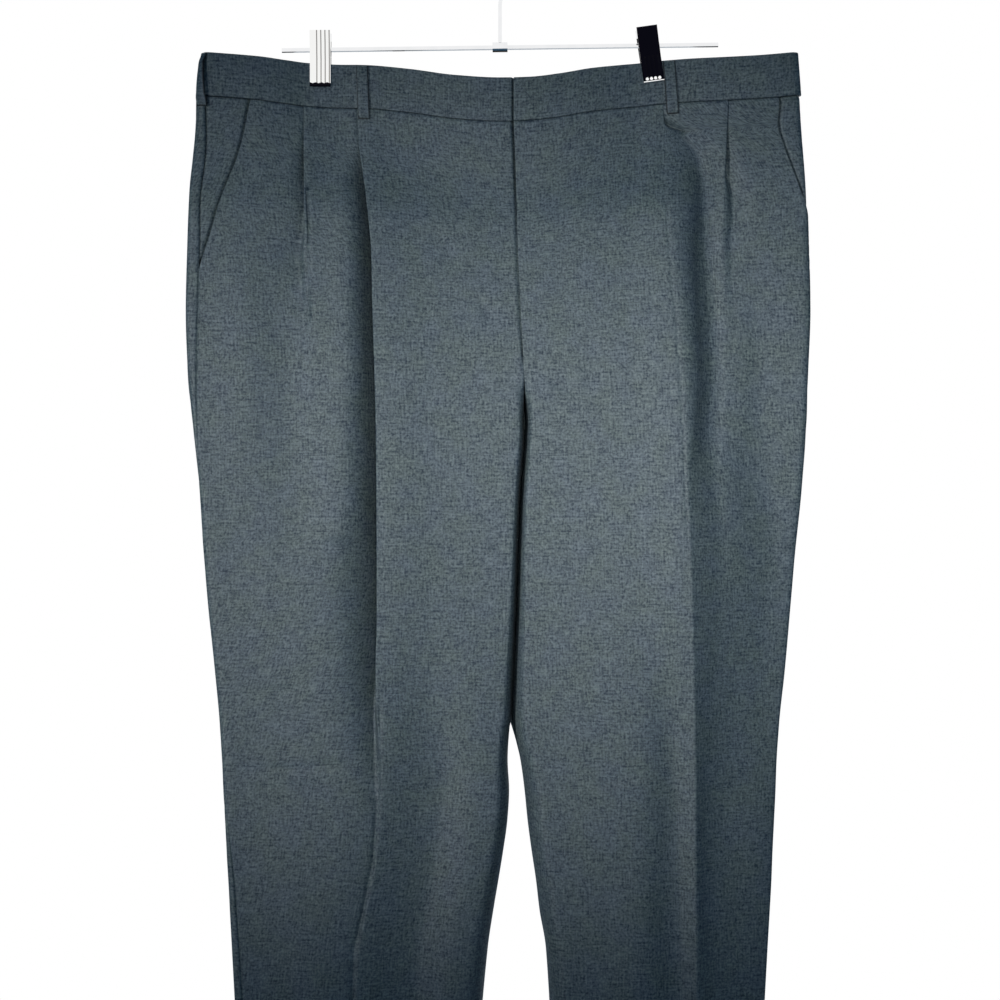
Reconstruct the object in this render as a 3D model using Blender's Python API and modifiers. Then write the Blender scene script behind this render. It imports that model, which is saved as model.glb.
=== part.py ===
"""Pleated dress trousers hanging from a clip hanger.

Metres, +Z up. The front of the garment faces -Y, the wearer's right leg is at -X.
The origin is the point inside the hook where a rail carries the hanger.

Every panel is a loft. A level is a distance below the corners of the waistband ("drop"),
and a section is worked out there for one half of the garment, in two coordinates:
"out", away from the middle of the body, and "fore", towards the front.
"""

import math

import bmesh
import bpy
import numpy as np
from mathutils import Vector

MM = 0.001  # sizes in this file are in mm

# Cloth and seams
PANEL_WALL = 1.0
BAND_WALL = 2.4
LOOP_WALL = 1.2
SEAM_GAP = 0.36
LAYER_GAP = 0.4

# Waistband and belt loops
WAIST_TOP = -98.0  # the waistband's corners, below the hang point
BAND_HEIGHT = 41.0
LOOP_WIDTH = 11.2
LOOP_TAIL = 10.0  # how far a loop runs on below the waist seam
LOOP_EASE = 1.3  # how far a loop stands off the band in its middle

# Fly
FLY_UNDERLAP = 14.0
FLY_END = 285.0  # drop where the fly closes into the crotch seam

# Slant pockets: the mouth runs from here at the waist seam to the side seam
POCKET_AT_WAIST = 37.0
POCKET_END = 205.0

# Legs
CROTCH = 350.0
SEAT_FOLD = -8.0  # fore of the crotch point and the inseams
SIDES = {"right": -1, "left": 1}

# Hanger
BAR_Z = -92.8
BAR_TILT = 0.74  # degrees that the bar drops towards the wearer's right
BAR_RADIUS = 2.25
BAR_LENGTH = 410.0
BOSS_RADIUS = 5.0
HOOK_RADIUS = 18.0  # inside the hook
HOOK_WIRE = 1.75
HOOK_SWEEP = 20.0
CLIP_X = {"right": -168.6, "left": 139.6}
CLIP_LEAN = {"right": 0.0, "left": 8.0}  # degrees, about the bar
CLIP_WIDTH = 19.4
CLIP_REACH = 35.2  # from the middle of the bar to the tips of the jaws
SLEEVE_RADIUS = 4.2
JAW_WALL = 1.0
FLUTE_DEPTH = 0.9


class Table:
    """Rows of numbers under named columns, in mm and degrees, read smoothly between rows."""

    def __init__(self, columns, *rows):
        self.names = columns.split()
        self.rows = np.array(rows, float)

    def at(self, name, key):
        """The named column's value where the first column is key."""
        keys = self.rows[:, 0]
        values = self.rows[:, self.names.index(name)]
        key = min(max(key, keys[0]), keys[-1])
        i = min(max(int(np.searchsorted(keys, key)) - 1, 0), len(keys) - 2)
        steps = np.diff(keys)
        slopes = np.diff(values) / steps
        start, end = self._slope(slopes, i), self._slope(slopes, i + 1)
        t = (key - keys[i]) / steps[i]
        return float(
            values[i] * (1 + 2 * t) * (1 - t) ** 2
            + start * steps[i] * t * (1 - t) ** 2
            + values[i + 1] * t * t * (3 - 2 * t)
            - end * steps[i] * t * t * (1 - t)
        )

    @staticmethod
    def _slope(slopes, i):
        """A slope at row i that never overshoots the rows beside it."""
        if i == 0 or i == len(slopes):
            return slopes[min(i, len(slopes) - 1)]
        before, after = slopes[i - 1], slopes[i]
        if before * after <= 0:
            return 0.0
        return 2 * before * after / (before + after)


# The waistband seen from above: x across the body, how far its top edge sags,
# and how far its front and back walls stand from the hanger's plane. It is pinched
# flat at the two clips and stands open between them.
WAIST = Table(
    "x sag front back",
    (-280, 0.0, 6.0, 6.0),
    (-226, 4.7, 7.5, 8.0),
    (-200, 7.9, 5.0, 5.2),
    (-181, 9.8, 1.8, 1.8),
    (-156, 11.3, 1.8, 1.8),
    (-127, 12.5, 5.5, 6.0),
    (-85, 17.0, 9.5, 10.0),
    (-42, 23.5, 13.5, 13.0),
    (0, 26.3, 15.5, 14.5),
    (28, 25.4, 15.0, 14.0),
    (56, 21.6, 12.5, 12.0),
    (85, 16.0, 9.0, 9.5),
    (113, 12.2, 4.6, 5.5),
    (131, 10.0, 1.8, 1.8),
    (156, 7.3, 1.8, 1.8),
    (176, 6.3, 4.4, 4.6),
    (205, 5.4, 7.0, 7.4),
    (240, 3.8, 8.0, 8.0),
    (280, 0.0, 6.0, 6.0),
)
BAND_COLUMNS = {
    "right": (14, 42, 70, 98, 127, 156, 181, 200, 226, 252),
    "left": (34, 56, 85, 113, 131, 156, 176, 205, 230, 254),
}
BAND_TURN = 8.0  # how far in from the side the waistband starts to fold back
BAND_FOLD = 6.0

# The centre front seam drifts to the wearer's left on its way down.
CENTRE = Table(
    "drop x",
    (0, 12.3),
    (41, 12.8),
    (90, 14.9),
    (171, 16.8),
    (232, 18.9),
    (283, 21.6),
    (319, 22.8),
    (350, 23.2),
)

# Outlines of each half: the silhouette, the side of the leg that faces the other leg,
# the pressed front crease and the outer pleat.
OUTLINE = {
    "right": Table(
        "drop outer inner crease pleat seam_shift",
        (0, 280.0, -12.3, 133.0, 183.3, 13),
        (41, 285.8, -12.8, 132.8, 183.4, 13),
        (72, 286.7, -14.0, 131.6, 184.2, 12),
        (129, 291.0, -15.6, 127.2, 184.6, 12),
        (185, 292.3, -17.0, 123.0, 183.6, 10),
        (241, 293.2, -19.2, 120.4, 183.0, 9),
        (297, 291.6, -22.0, 118.4, 181.0, 7),
        (350, 286.4, -22.4, 117.4, 179.0, 2),
        (411, 280.1, -18.5, 117.4, 177.0, 0),
        (467, 276.4, -15.9, 117.6, 175.0, 0),
        (524, 271.7, -14.0, 118.0, 173.0, 0),
        (580, 266.0, -11.6, 117.0, 170.0, 0),
        (624, 262.0, -10.1, 115.8, 168.0, 0),
        (636, 261.3, -8.4, 115.4, 168.0, 0),
        (665, 259.6, -6.8, 115.6, 167.0, 0),
        (693, 258.5, -8.2, 117.6, 167.0, 0),
        (721, 257.0, -6.6, 120.4, 168.0, 0),
        (749, 255.7, -2.8, 122.6, 169.0, 0),
        (778, 254.2, 1.9, 124.6, 170.0, 0),
        (806, 252.9, 6.6, 127.0, 171.0, 0),
        (841, 251.0, 11.8, 128.6, 172.0, 0),
        (940, 246.0, 20.0, 131.0, 173.0, 0),
        (1112, 239.0, 26.0, 132.5, 173.0, 0),
    ),
    "left": Table(
        "drop outer inner crease pleat seam_shift",
        (0, 280.0, 12.3, 156.4, 213.0, -19),
        (41, 283.0, 12.8, 157.0, 212.6, -19),
        (72, 284.8, 14.0, 157.8, 211.6, -15),
        (129, 288.4, 15.6, 159.2, 208.6, -10),
        (185, 290.0, 17.0, 161.6, 207.6, -9),
        (241, 291.2, 19.2, 165.4, 207.0, -8),
        (297, 289.0, 22.0, 169.4, 208.0, -6),
        (350, 287.2, 24.0, 172.6, 211.0, -2),
        (411, 283.0, 20.1, 174.8, 214.0, 0),
        (467, 277.3, 17.5, 177.2, 216.0, 0),
        (524, 272.6, 15.6, 179.4, 217.0, 0),
        (580, 267.9, 13.2, 180.4, 217.0, 0),
        (624, 263.2, 11.7, 181.4, 217.0, 0),
        (636, 262.3, 13.2, 181.6, 217.0, 0),
        (665, 260.4, 19.7, 181.8, 216.0, 0),
        (693, 259.4, 23.5, 181.6, 215.0, 0),
        (721, 258.0, 26.3, 181.4, 215.0, 0),
        (749, 256.6, 30.0, 181.6, 214.0, 0),
        (778, 255.5, 34.3, 182.0, 214.0, 0),
        (806, 254.0, 37.6, 182.6, 213.0, 0),
        (841, 252.0, 43.5, 183.4, 212.0, 0),
        (940, 247.0, 49.0, 184.0, 210.0, 0),
        (1112, 241.0, 54.0, 184.0, 208.0, 0),
    ),
}

# How far each half stands fore and aft of the hanger's plane: at the inner edge,
# at the crease and at the side, then how wide its side and inner edges turn.
DEPTH = {
    "right": Table(
        "drop fore_inner fore_crease fore_side aft_inner aft_crease aft_side side_turn inner_turn",
        (41, 15, 8, 6, 14, 8, 6, 8, 20),
        (90, 17, 14, 9, 16, 14, 9, 10, 20),
        (150, 22, 22, 12, 21, 24, 13, 13, 20),
        (241, 27, 31, 13, 25, 33, 14, 14, 22),
        (297, 29, 34, 14, 28, 36, 15, 15, 24),
        (350, 27, 36, 14, 28, 37, 15, 15, 24),
        (467, 23, 36, 14, 25, 35, 14, 15, 22),
        (580, 21, 34, 14, 22, 32, 14, 15, 20),
        (693, 19, 31, 13, 19, 28, 13, 14, 19),
        (841, 16, 26, 12, 16, 24, 12, 13, 18),
        (1112, 13, 22, 10, 13, 20, 10, 11, 16),
    ),
    "left": Table(
        "drop fore_inner fore_crease fore_side aft_inner aft_crease aft_side side_turn inner_turn",
        (41, 15, 8, 6, 14, 8, 6, 8, 20),
        (90, 17, 14, 9, 16, 14, 9, 10, 20),
        (150, 22, 22, 12, 21, 24, 13, 13, 20),
        (241, 27, 31, 13, 25, 33, 14, 14, 22),
        (297, 29, 35, 14, 28, 36, 15, 15, 24),
        (350, 27, 38, 15, 28, 38, 15, 16, 24),
        (467, 23, 40, 16, 25, 37, 15, 17, 23),
        (580, 22, 40, 17, 23, 36, 16, 18, 22),
        (693, 22, 39, 17, 22, 36, 16, 18, 22),
        (841, 21, 37, 16, 21, 36, 16, 17, 22),
        (1112, 17, 34, 14, 17, 33, 14, 15, 19),
    ),
}

# The inner pleat, pressed on down the leg as the crease. The cloth comes outward, turns back
# at the fold, runs under it, and turns out again in the valley. Crest and flank are the height
# and the width of the ridge that the fold stands on, and settle is how far beyond the valley
# the cloth needs to come back to the face.
CREASE = {
    "right": Table(
        "drop turn run valley crest flank settle",
        (41, 180, 14.0, 0.75, 0.0, 20, 12),
        (70, 176, 11.0, 0.9, 0.8, 22, 14),
        (100, 150, 8.0, 2.0, 2.5, 24, 18),
        (140, 124, 7.5, 3.2, 4.5, 28, 24),
        (200, 112, 8.0, 4.0, 6.0, 32, 32),
        (300, 108, 8.0, 4.5, 7.0, 34, 40),
        (380, 100, 7.5, 5.0, 7.0, 34, 46),
        (460, 86, 6.5, 7.0, 6.5, 34, 50),
        (560, 66, 5.0, 10.0, 6.0, 34, 50),
        (700, 50, 4.0, 14.0, 5.5, 34, 46),
        (841, 44, 4.0, 16.0, 5.5, 34, 40),
        (1112, 52, 4.0, 16.0, 5.5, 30, 40),
    ),
    "left": Table(
        "drop turn run valley crest flank settle",
        (41, 180, 14.0, 0.75, 0.0, 20, 12),
        (70, 176, 11.0, 0.9, 0.6, 22, 13),
        (100, 146, 7.5, 2.0, 1.8, 24, 16),
        (140, 112, 7.0, 3.6, 3.4, 28, 20),
        (200, 98, 8.0, 4.5, 5.0, 32, 24),
        (300, 92, 9.0, 5.5, 6.5, 34, 26),
        (380, 90, 9.0, 7.0, 7.5, 36, 32),
        (460, 86, 8.0, 9.0, 8.0, 38, 38),
        (560, 76, 6.5, 12.0, 8.0, 38, 40),
        (700, 66, 5.0, 14.0, 8.0, 38, 40),
        (841, 62, 5.0, 14.0, 8.5, 38, 36),
        (1112, 62, 5.0, 14.0, 8.5, 34, 34),
    ),
}

# The outer pleat is shallower and lets go of the cloth above the hip.
PLEAT = Table(
    "drop turn run valley crest settle",
    (41, 180, 9.0, 0.75, 0.0, 10),
    (70, 172, 6.5, 0.9, 0.5, 12),
    (100, 120, 3.5, 2.5, 1.0, 14),
    (140, 70, 2.5, 4.0, 1.2, 16),
    (200, 30, 2.0, 8.0, 0.8, 18),
    (260, 6, 2.0, 20.0, 0.2, 20),
    (300, 2, 2.0, 30.0, 0.0, 20),
    (1112, 2, 2.0, 30.0, 0.0, 20),
)

# The centre front and centre back seams dive between the legs to the crotch point,
# and the back of each leg lies a little past the front of it, so that no light comes through.
FORK = Table(
    "drop front back lap",
    (41, 0.0, 0.0, 0),
    (284, 0.0, 0.0, 0),
    (305, 0.0, 0.03, 2),
    (318, 0.12, 0.12, 5),
    (334, 0.5, 0.5, 7),
    (350, 1.0, 1.0, 8),
    (610, 1.0, 1.0, 8),
    (650, 1.0, 1.0, 2),
    (690, 1.0, 1.0, 0),
    (1112, 1.0, 1.0, 0),
)

# The pressed back crease fades out under the seat.
BACK_CREASE = Table(
    "drop crest flank",
    (41, 0.0, 34),
    (297, 0.0, 34),
    (380, 2.5, 30),
    (500, 5.0, 26),
    (1112, 6.0, 22),
)

NOSE_RADIUS = 0.75  # of the pressed folds, at the middle of the cloth
SHORTEST_ARC = 2.4  # keeps a fading fold from closing up into slivers
CREST_FLAT = 7.0  # the level strip of the ridge, beside the crease

# Where the rows of points lie, and how many columns each stretch of a row has.
LEVELS = (41, 52, 68, 90, 118, 150, 174, 196, 226, 256, 285, 305, 318, 334, 350, 368, 408,
          467, 540, 610, 650, 690, 730, 790, 870, 985, 1112)
FACING_LEVELS = 8  # how many of the levels the pocket facings run over
TURN_STEPS = 3
MAIN_STEPS = (3, 2, 3)
SMALL_STEPS = (3, 1, 2)
SEAM_STEPS = (22, 14, 9, 4, 0)  # distances from the side seam or the pocket mouth


def smooth(t):
    t = min(max(t, 0.0), 1.0)
    return t * t * (3 - 2 * t)


def mix(a, b, t):
    return a + (b - a) * t


class Line:
    """A polyline that is read by length."""

    def __init__(self, points):
        self.points = np.array(points, float)
        self.reach = np.concatenate([[0.0], np.cumsum(np.linalg.norm(np.diff(self.points, axis=0), axis=1))])
        self.length = float(self.reach[-1])

    def at(self, length):
        return tuple(float(np.interp(length, self.reach, self.points[:, i])) for i in (0, 1))

    def beside(self, length, distance):
        """The point at a length, moved to the right of the way the line runs."""
        ahead, behind = self.at(min(length + 0.8, self.length)), self.at(max(length - 0.8, 0.0))
        along = np.array(ahead) - np.array(behind)
        along /= np.linalg.norm(along)
        out, fore = self.at(length)
        return out + distance * along[1], fore - distance * along[0]


# ---------------------------------------------------------------- sections

def band_depth(side, out, wall):
    """How far the waistband's front or back wall stands from the hanger's plane."""
    return WAIST.at(wall, SIDES[side] * out)


def face_depth(side, drop, out, wall):
    """How far the front or the back stands out, before its folds and turned edges."""
    table = DEPTH[side]
    word = "fore" if wall == "front" else "aft"
    inner, crease = (OUTLINE[side].at(name, drop) for name in ("inner", "crease"))
    turn = OUTLINE[side].at("outer", drop) - table.at("side_turn", drop)
    at_inner, at_crease, at_side = (table.at(f"{word}_{place}", drop) for place in ("inner", "crease", "side"))
    if out < crease:
        depth = mix(at_inner, at_crease, smooth((out - inner) / (crease - inner)))
    else:
        depth = mix(at_crease, at_side, smooth((out - crease) / (turn - crease)))
    return mix(band_depth(side, out, wall) + 0.5, depth, smooth((drop - 41) / 110))


def slope(face, out):
    return math.atan2(face(out) - face(out - 2.0), 2.0)


def fold_path(start, heading, turn, run, valley, leave, steps):
    """A pressed fold: it comes along heading, turns back round the nose until it points turn
    degrees inward, runs on, and turns out again in the valley, to leave along leave."""
    points = []
    out, fore = start
    back = -math.radians(turn)

    def walk(length, begin, end, count):
        nonlocal out, fore
        for i in range(count):
            direction = mix(begin, end, (i + 0.5) / count)
            out += length / count * math.cos(direction)
            fore += length / count * math.sin(direction)
            points.append((out, fore))

    walk(max(NOSE_RADIUS * (heading - back), SHORTEST_ARC), heading, back, steps[0])
    walk(run, back, back, steps[1])
    walk(max(valley * abs(back), SHORTEST_ARC), back, leave, steps[2])
    return points


def inner_edge(side, drop, edge, face, lap):
    """The turned inner edge: from the seam between the legs to the face."""
    inner, width = OUTLINE[side].at("inner", drop), DEPTH[side].at("inner_turn", drop)
    points = []
    for i in range(TURN_STEPS + 1):
        angle = math.pi / 2 * i / TURN_STEPS
        out = inner + width * (1 - math.cos(angle)) - SIDES[side] * lap * smooth(2 * angle / math.pi * 2)
        points.append((out, mix(edge, face(out), math.sin(angle))))
    return points


def front_section(side, drop):
    """The front from its inner edge to the outer pleat's valley, and the face beyond that."""
    folds = CREASE[side]
    inner, crease, pleat = (OUTLINE[side].at(name, drop) for name in ("inner", "crease", "pleat"))
    crest, flank = folds.at("crest", drop), folds.at("flank", drop)

    def face(out):
        return face_depth(side, drop, out, "front") + crest * smooth(1 - (crease - CREST_FLAT - out) / flank)

    points = inner_edge(side, drop, mix(face(inner), SEAT_FOLD, FORK.at("front", drop)), face, 0.0)
    start = points[-1][0]
    foot = crease - CREST_FLAT - flank
    for out in (mix(start, foot, 0.5), foot, foot + flank / 2, crease - CREST_FLAT, crease):
        points.append((out, face(out)))

    def plain(out):
        return face_depth(side, drop, out, "front")

    def settled(valley, begin, width):
        gap = valley[1] - plain(valley[0])
        return lambda out: plain(out) + gap * (1 - smooth((out - begin) / width))

    points += fold_path(points[-1], slope(face, crease), folds.at("turn", drop), folds.at("run", drop),
                        folds.at("valley", drop), min(slope(plain, crease + 12), 0.0), MAIN_STEPS)

    valley = points[-1]
    beyond = settled(valley, max(valley[0], crease + 1.6), folds.at("settle", drop))
    for share in (0.2, 0.45, 0.72, 1.0):
        out = mix(valley[0], pleat, share)
        points.append((out, beyond(out) + PLEAT.at("crest", drop) * smooth(1 - (pleat - out) / 16)))
    along = slope(beyond, pleat)
    points += fold_path(points[-1], along, max(PLEAT.at("turn", drop), -math.degrees(along)), PLEAT.at("run", drop),
                        PLEAT.at("valley", drop), min(along, 0.0), SMALL_STEPS)
    valley = points[-1]
    return points, settled(valley, max(valley[0], pleat + 1.6), PLEAT.at("settle", drop))


def side_line(side, drop, start, face):
    """A fine line from a point on the front, round the side to the back, and where it folds."""
    reach, width = OUTLINE[side].at("outer", drop), DEPTH[side].at("side_turn", drop)
    begin = reach - width
    points = [start]
    for i in range(1, 25):
        out = mix(start[0], begin, i / 24)
        points.append((out, face(out)))
    front, back = points[-1][1], -face_depth(side, drop, begin, "back")
    for i in range(1, 33):
        angle = math.pi / 2 * (1 - i / 16)
        points.append((begin + width * math.cos(angle), (front if angle > 0 else -back) * math.sin(angle)))
    for i in range(1, 13):
        out = mix(begin, OUTLINE[side].at("crease", drop) + 5, i / 12)
        points.append((out, -face_depth(side, drop, out, "back")))
    return Line(points), Line(points[:41]).length


def half_section(side, drop):
    """The front's points, the line round the side, and the lengths on it of the pocket mouth and the seam."""
    points, face = front_section(side, drop)
    line, fold = side_line(side, drop, points[-1], face)
    seam = fold - OUTLINE[side].at("seam_shift", drop)
    mouth = seam - max(0.0, POCKET_AT_WAIST * (POCKET_END - drop) / (POCKET_END - BAND_HEIGHT))
    return points, line, mouth, seam


def seam_inset(drop):
    """How far a panel's middle stays off the centre seams. Where they dive between the legs the
    walls lie side by side, so each needs half its thickness as well."""
    side_by_side = smooth((drop - 285) / 20) * (drop <= CROTCH)
    return mix(SEAM_GAP / 2, PANEL_WALL / 2 + SEAM_GAP / 2, side_by_side) if drop <= CROTCH else 0.0


def front_row(side, drop):
    points, line, mouth, seam = half_section(side, drop)
    end = mouth if drop < POCKET_END else seam - SEAM_GAP / 2
    points.append(line.at(mix(0.0, end - SEAM_STEPS[0], 0.5)))
    points += [line.at(end - step) for step in SEAM_STEPS]
    if side == "right":
        return with_fly_underlap(points, drop)
    out, fore = points[0]
    return [(out + seam_inset(drop), fore)] + points[1:]


def with_fly_underlap(points, drop):
    """The right front steps back and runs on under the left front's edge as far as the fly is cut."""
    step = (PANEL_WALL + LAYER_GAP) * (1 - smooth((drop - FLY_END) / 18))
    tongue = FLY_UNDERLAP * (1 - smooth((drop - FLY_END + 50) / 45))
    out, fore = points[0]
    edge = out + mix(seam_inset(drop), 0.0, tongue / FLY_UNDERLAP)
    x, y = Line(points[:2]).at(1.0)
    lapped = [(edge - tongue, fore - step), (x + edge - out, y - step)]
    return lapped + [(x, y - step * (1 - smooth((x - out - 1.0) / 5.0))) for x, y in points[1:]]


def facing_row(side, drop):
    """The pocket facing: under the front from the pocket mouth, and in the open to the side seam."""
    _, line, mouth, seam = half_section(side, drop)
    end = seam - SEAM_GAP / 2
    lengths = [mouth - step for step in SEAM_STEPS[2:]] + [mix(mouth, end, i / 4) for i in range(1, 5)]
    return [line.beside(length, PANEL_WALL + LAYER_GAP) for length in lengths]


def back_row(side, drop):
    """The back panel, from the side seam to the centre back seam or the inseam."""
    _, line, _, seam = half_section(side, drop)
    inner, crease = OUTLINE[side].at("inner", drop), OUTLINE[side].at("crease", drop)
    crest, flank = BACK_CREASE.at("crest", drop), BACK_CREASE.at("flank", drop)

    def face(out):
        return -face_depth(side, drop, out, "back") - crest * smooth(1 - abs(out - crease) / flank)

    start = seam + SEAM_GAP / 2
    points = [line.at(start + step) for step in SEAM_STEPS[::-1]]
    last = crease + flank
    for out in (mix(points[-1][0], last, 0.5), last, crease + flank * 0.35, crease, crease - flank * 0.35, crease - flank):
        points.append((out, face(out)))
    edge = inner_edge(side, drop, mix(face(inner), SEAT_FOLD, FORK.at("back", drop)), face, FORK.at("lap", drop))
    foot = crease - flank
    points += [(out, face(out)) for out in (mix(foot, edge[-1][0], 0.35), mix(foot, edge[-1][0], 0.7))]
    out, fore = edge[0]
    edge[0] = (out + seam_inset(drop), fore - 2 * SEAM_GAP * FORK.at("back", drop))
    return points + edge[::-1]


def placed(side, drop, row):
    """A row of (out, fore) points in the world. Rows near the waist sag as the waistband does."""
    follow = 1 - smooth((drop - 60) / 260)
    world = []
    for out, fore in row:
        x = SIDES[side] * out
        world.append(Vector((x, -fore, WAIST_TOP - drop - WAIST.at("sag", x) * follow)) * MM)
    return world


# ---------------------------------------------------------------- mesh helpers

def new_collection(name):
    made = bpy.data.collections.new(name)
    bpy.context.scene.collection.children.link(made)
    return made


def material(name, colour, roughness, metallic=0.0):
    made = bpy.data.materials.new(name)
    made.use_nodes = True
    shader = made.node_tree.nodes["Principled BSDF"]
    shader.inputs["Base Color"].default_value = (*colour, 1.0)
    shader.inputs["Roughness"].default_value = roughness
    shader.inputs["Metallic"].default_value = metallic
    made.diffuse_color = (*colour, 1.0)
    return made


def add_object(name, data, collection, finish):
    data.materials.append(finish)
    made = bpy.data.objects.new(name, data)
    collection.objects.link(made)
    return made


def sheet(name, rows, wall, collection, finish):
    """A sheet of cloth or steel: a grid laid through rows of points, thickened by Solidify."""
    mesh = bpy.data.meshes.new(name)
    grid = bmesh.new()
    bmesh.ops.create_grid(grid, x_segments=len(rows[0]) - 1, y_segments=len(rows) - 1, size=1.0)
    for vertex, point in zip(grid.verts, (point for row in rows for point in row)):
        vertex.co = point
    grid.to_mesh(mesh)
    grid.free()
    mesh.shade_smooth()
    made = add_object(name, mesh, collection, finish)
    thick = made.modifiers.new("Thickness", "SOLIDIFY")
    thick.thickness = wall * MM
    thick.offset = 0.0
    return made


def wire(name, points, radius, collection, finish):
    """A round wire or bar along points, with flat ends."""
    curve = bpy.data.curves.new(name, "CURVE")
    curve.dimensions = "3D"
    curve.bevel_depth = radius * MM
    curve.bevel_resolution = 2
    curve.use_fill_caps = True
    spline = curve.splines.new("POLY")
    spline.points.add(len(points) - 1)
    for place, point in zip(spline.points, points):
        place.co = (*(Vector(point) * MM), 1.0)
    return add_object(name, curve, collection, finish)


def ring(name, x, inner, outer, length, collection, finish):
    """A turned ring round the bar."""
    mesh = bpy.data.meshes.new(name)
    profile = bmesh.new()
    corners = ((-length / 2, inner), (length / 2, inner), (length / 2, outer), (-length / 2, outer))
    verts = [profile.verts.new(Vector((along, 0.0, radius)) * MM) for along, radius in corners]
    for i in range(4):
        profile.edges.new((verts[i], verts[(i + 1) % 4]))
    profile.to_mesh(mesh)
    profile.free()
    made = add_object(name, mesh, collection, finish)
    made.location = Vector((x, 0.0, bar_height(x))) * MM
    made.rotation_euler.y = -math.radians(BAR_TILT)
    turned = made.modifiers.new("Turned", "SCREW")
    turned.axis = "X"
    turned.angle = math.tau
    turned.steps = turned.render_steps = 16
    turned.use_merge_vertices = True
    turned.merge_threshold = 0.00001
    turned.use_smooth_shade = False
    turned.use_normal_calculate = True
    turned.use_normal_flip = True
    return made


# ---------------------------------------------------------------- trousers

def band_place(side, level, out, wall):
    """A point on the middle of the waistband, as (out, fore)."""
    return out, band_depth(side, out, wall) * (1 if wall == "front" else -1)


def band_fold(side, level, angle):
    """A point where the waistband folds at the side: 90 degrees is where the front ends, -90 the back."""
    begin = OUTLINE[side].at("outer", level) - BAND_TURN
    wall = band_depth(side, begin, "front" if angle > 0 else "back")
    return begin + BAND_TURN * math.cos(math.radians(angle)), wall * math.sin(math.radians(angle))


def waistband(side, collection, finish):
    start = SIDES[side] * CENTRE.at("x", 20.0)
    rows = []
    for level in (0.0, 14.0, 28.0, BAND_HEIGHT - 0.6):
        front = [band_place(side, level, out, "front") for out in (start + SEAM_GAP / 2, *BAND_COLUMNS[side])]
        fold = [band_fold(side, level, angle) for angle in (90, 65, 35, 0, -35, -65, -90)]
        back = [band_place(side, level, out, "back") for out in (*BAND_COLUMNS[side][::-1], start + SEAM_GAP / 2)]
        if side == "right":
            step = BAND_WALL + LAYER_GAP
            lapped = [band_place(side, level, out, "front") for out in (start - FLY_UNDERLAP, start + 1.2)]
            front[:1] = [(out, fore - step) for out, fore in lapped] + [band_place(side, level, start + 5.0, "front")]
        rows.append([placed_band(side, level, point) for point in front + fold + back])
    return sheet(f"waistband_{side}", rows, BAND_WALL, collection, finish)


def placed_band(side, level, point):
    x = SIDES[side] * point[0]
    return Vector((x, -point[1], WAIST_TOP - level - WAIST.at("sag", x))) * MM


def belt_loop(name, side, place, collection, finish):
    """A strap on the waistband, sewn down at its top and just below the waist seam. Place gives
    the line it lies on at a level, as a Line and the length of its middle on that line."""
    rest = BAND_WALL / 2 + LAYER_GAP + LOOP_WALL / 2
    rows = []
    for level in (0.8, 5.0, 9.0, 20.0, 34.0, 44.0, 47.5, BAND_HEIGHT + LOOP_TAIL):
        line, middle = place(level)
        ease = LOOP_EASE * smooth((level - 2) / 8) * smooth((46 - level) / 6)
        below = 0.6 * smooth((level - 38) / 6)
        across = [line.beside(middle + LOOP_WIDTH * share, -(rest + ease + below)) for share in (-0.5, -0.17, 0.17, 0.5)]
        rows.append([placed_band(side, level, point) for point in across])
    return sheet(name, rows, LOOP_WALL, collection, finish)


def wall_place(side, wall, top, bottom):
    """A belt loop's place on the front or the back, from its x at the top to its x at the bottom."""
    def place(level):
        middle = SIDES[side] * mix(top, bottom, level / (BAND_HEIGHT + LOOP_TAIL))
        outs = np.linspace(middle - 10, middle + 10, 9)
        if wall == "back":
            outs = outs[::-1]
        line = Line([band_place(side, level, out, wall) for out in outs])
        return line, line.length / 2
    return place


def side_place(side, ahead):
    """A belt loop's place round the side fold, this far ahead of the fold."""
    def place(level):
        turn = [band_fold(side, level, angle) for angle in range(90, -91, -10)]
        reach = turn[0][0]
        front = [band_place(side, level, reach - step, "front") for step in (36, 24, 12, 6)]
        back = [band_place(side, level, reach - step, "back") for step in (6, 12, 24, 36)]
        line = Line(front + turn + back)
        return line, Line(front + turn[:10]).length - ahead
    return place


def make_trousers(collection, wool):
    for side in SIDES:
        waistband(side, collection, wool)
        for name, row in (("front", front_row), ("back", back_row)):
            sheet(f"{name}_{side}", [placed(side, drop, row(side, drop)) for drop in LEVELS],
                  PANEL_WALL, collection, wool)
        sheet(f"pocket_facing_{side}", [placed(side, drop, facing_row(side, drop)) for drop in LEVELS[:FACING_LEVELS]],
              PANEL_WALL, collection, wool)
    for name, side, place in (
        ("belt_loop_front_right", "right", wall_place("right", "front", -128.8, -127.0)),
        ("belt_loop_front_left", "left", wall_place("left", "front", 158.4, 162.4)),
        ("belt_loop_side_right", "right", side_place("right", 7.0)),
        ("belt_loop_side_left", "left", side_place("left", -18.0)),
        ("belt_loop_back_right", "right", wall_place("right", "back", -96.0, -96.0)),
        ("belt_loop_back_left", "left", wall_place("left", "back", 108.0, 108.0)),
        ("belt_loop_centre_back", "left", wall_place("left", "back", 12.5, 12.5)),
    ):
        belt_loop(name, side, place, collection, wool)


# ---------------------------------------------------------------- hanger

def bar_height(x):
    return BAR_Z + x * math.tan(math.radians(BAR_TILT))


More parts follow.
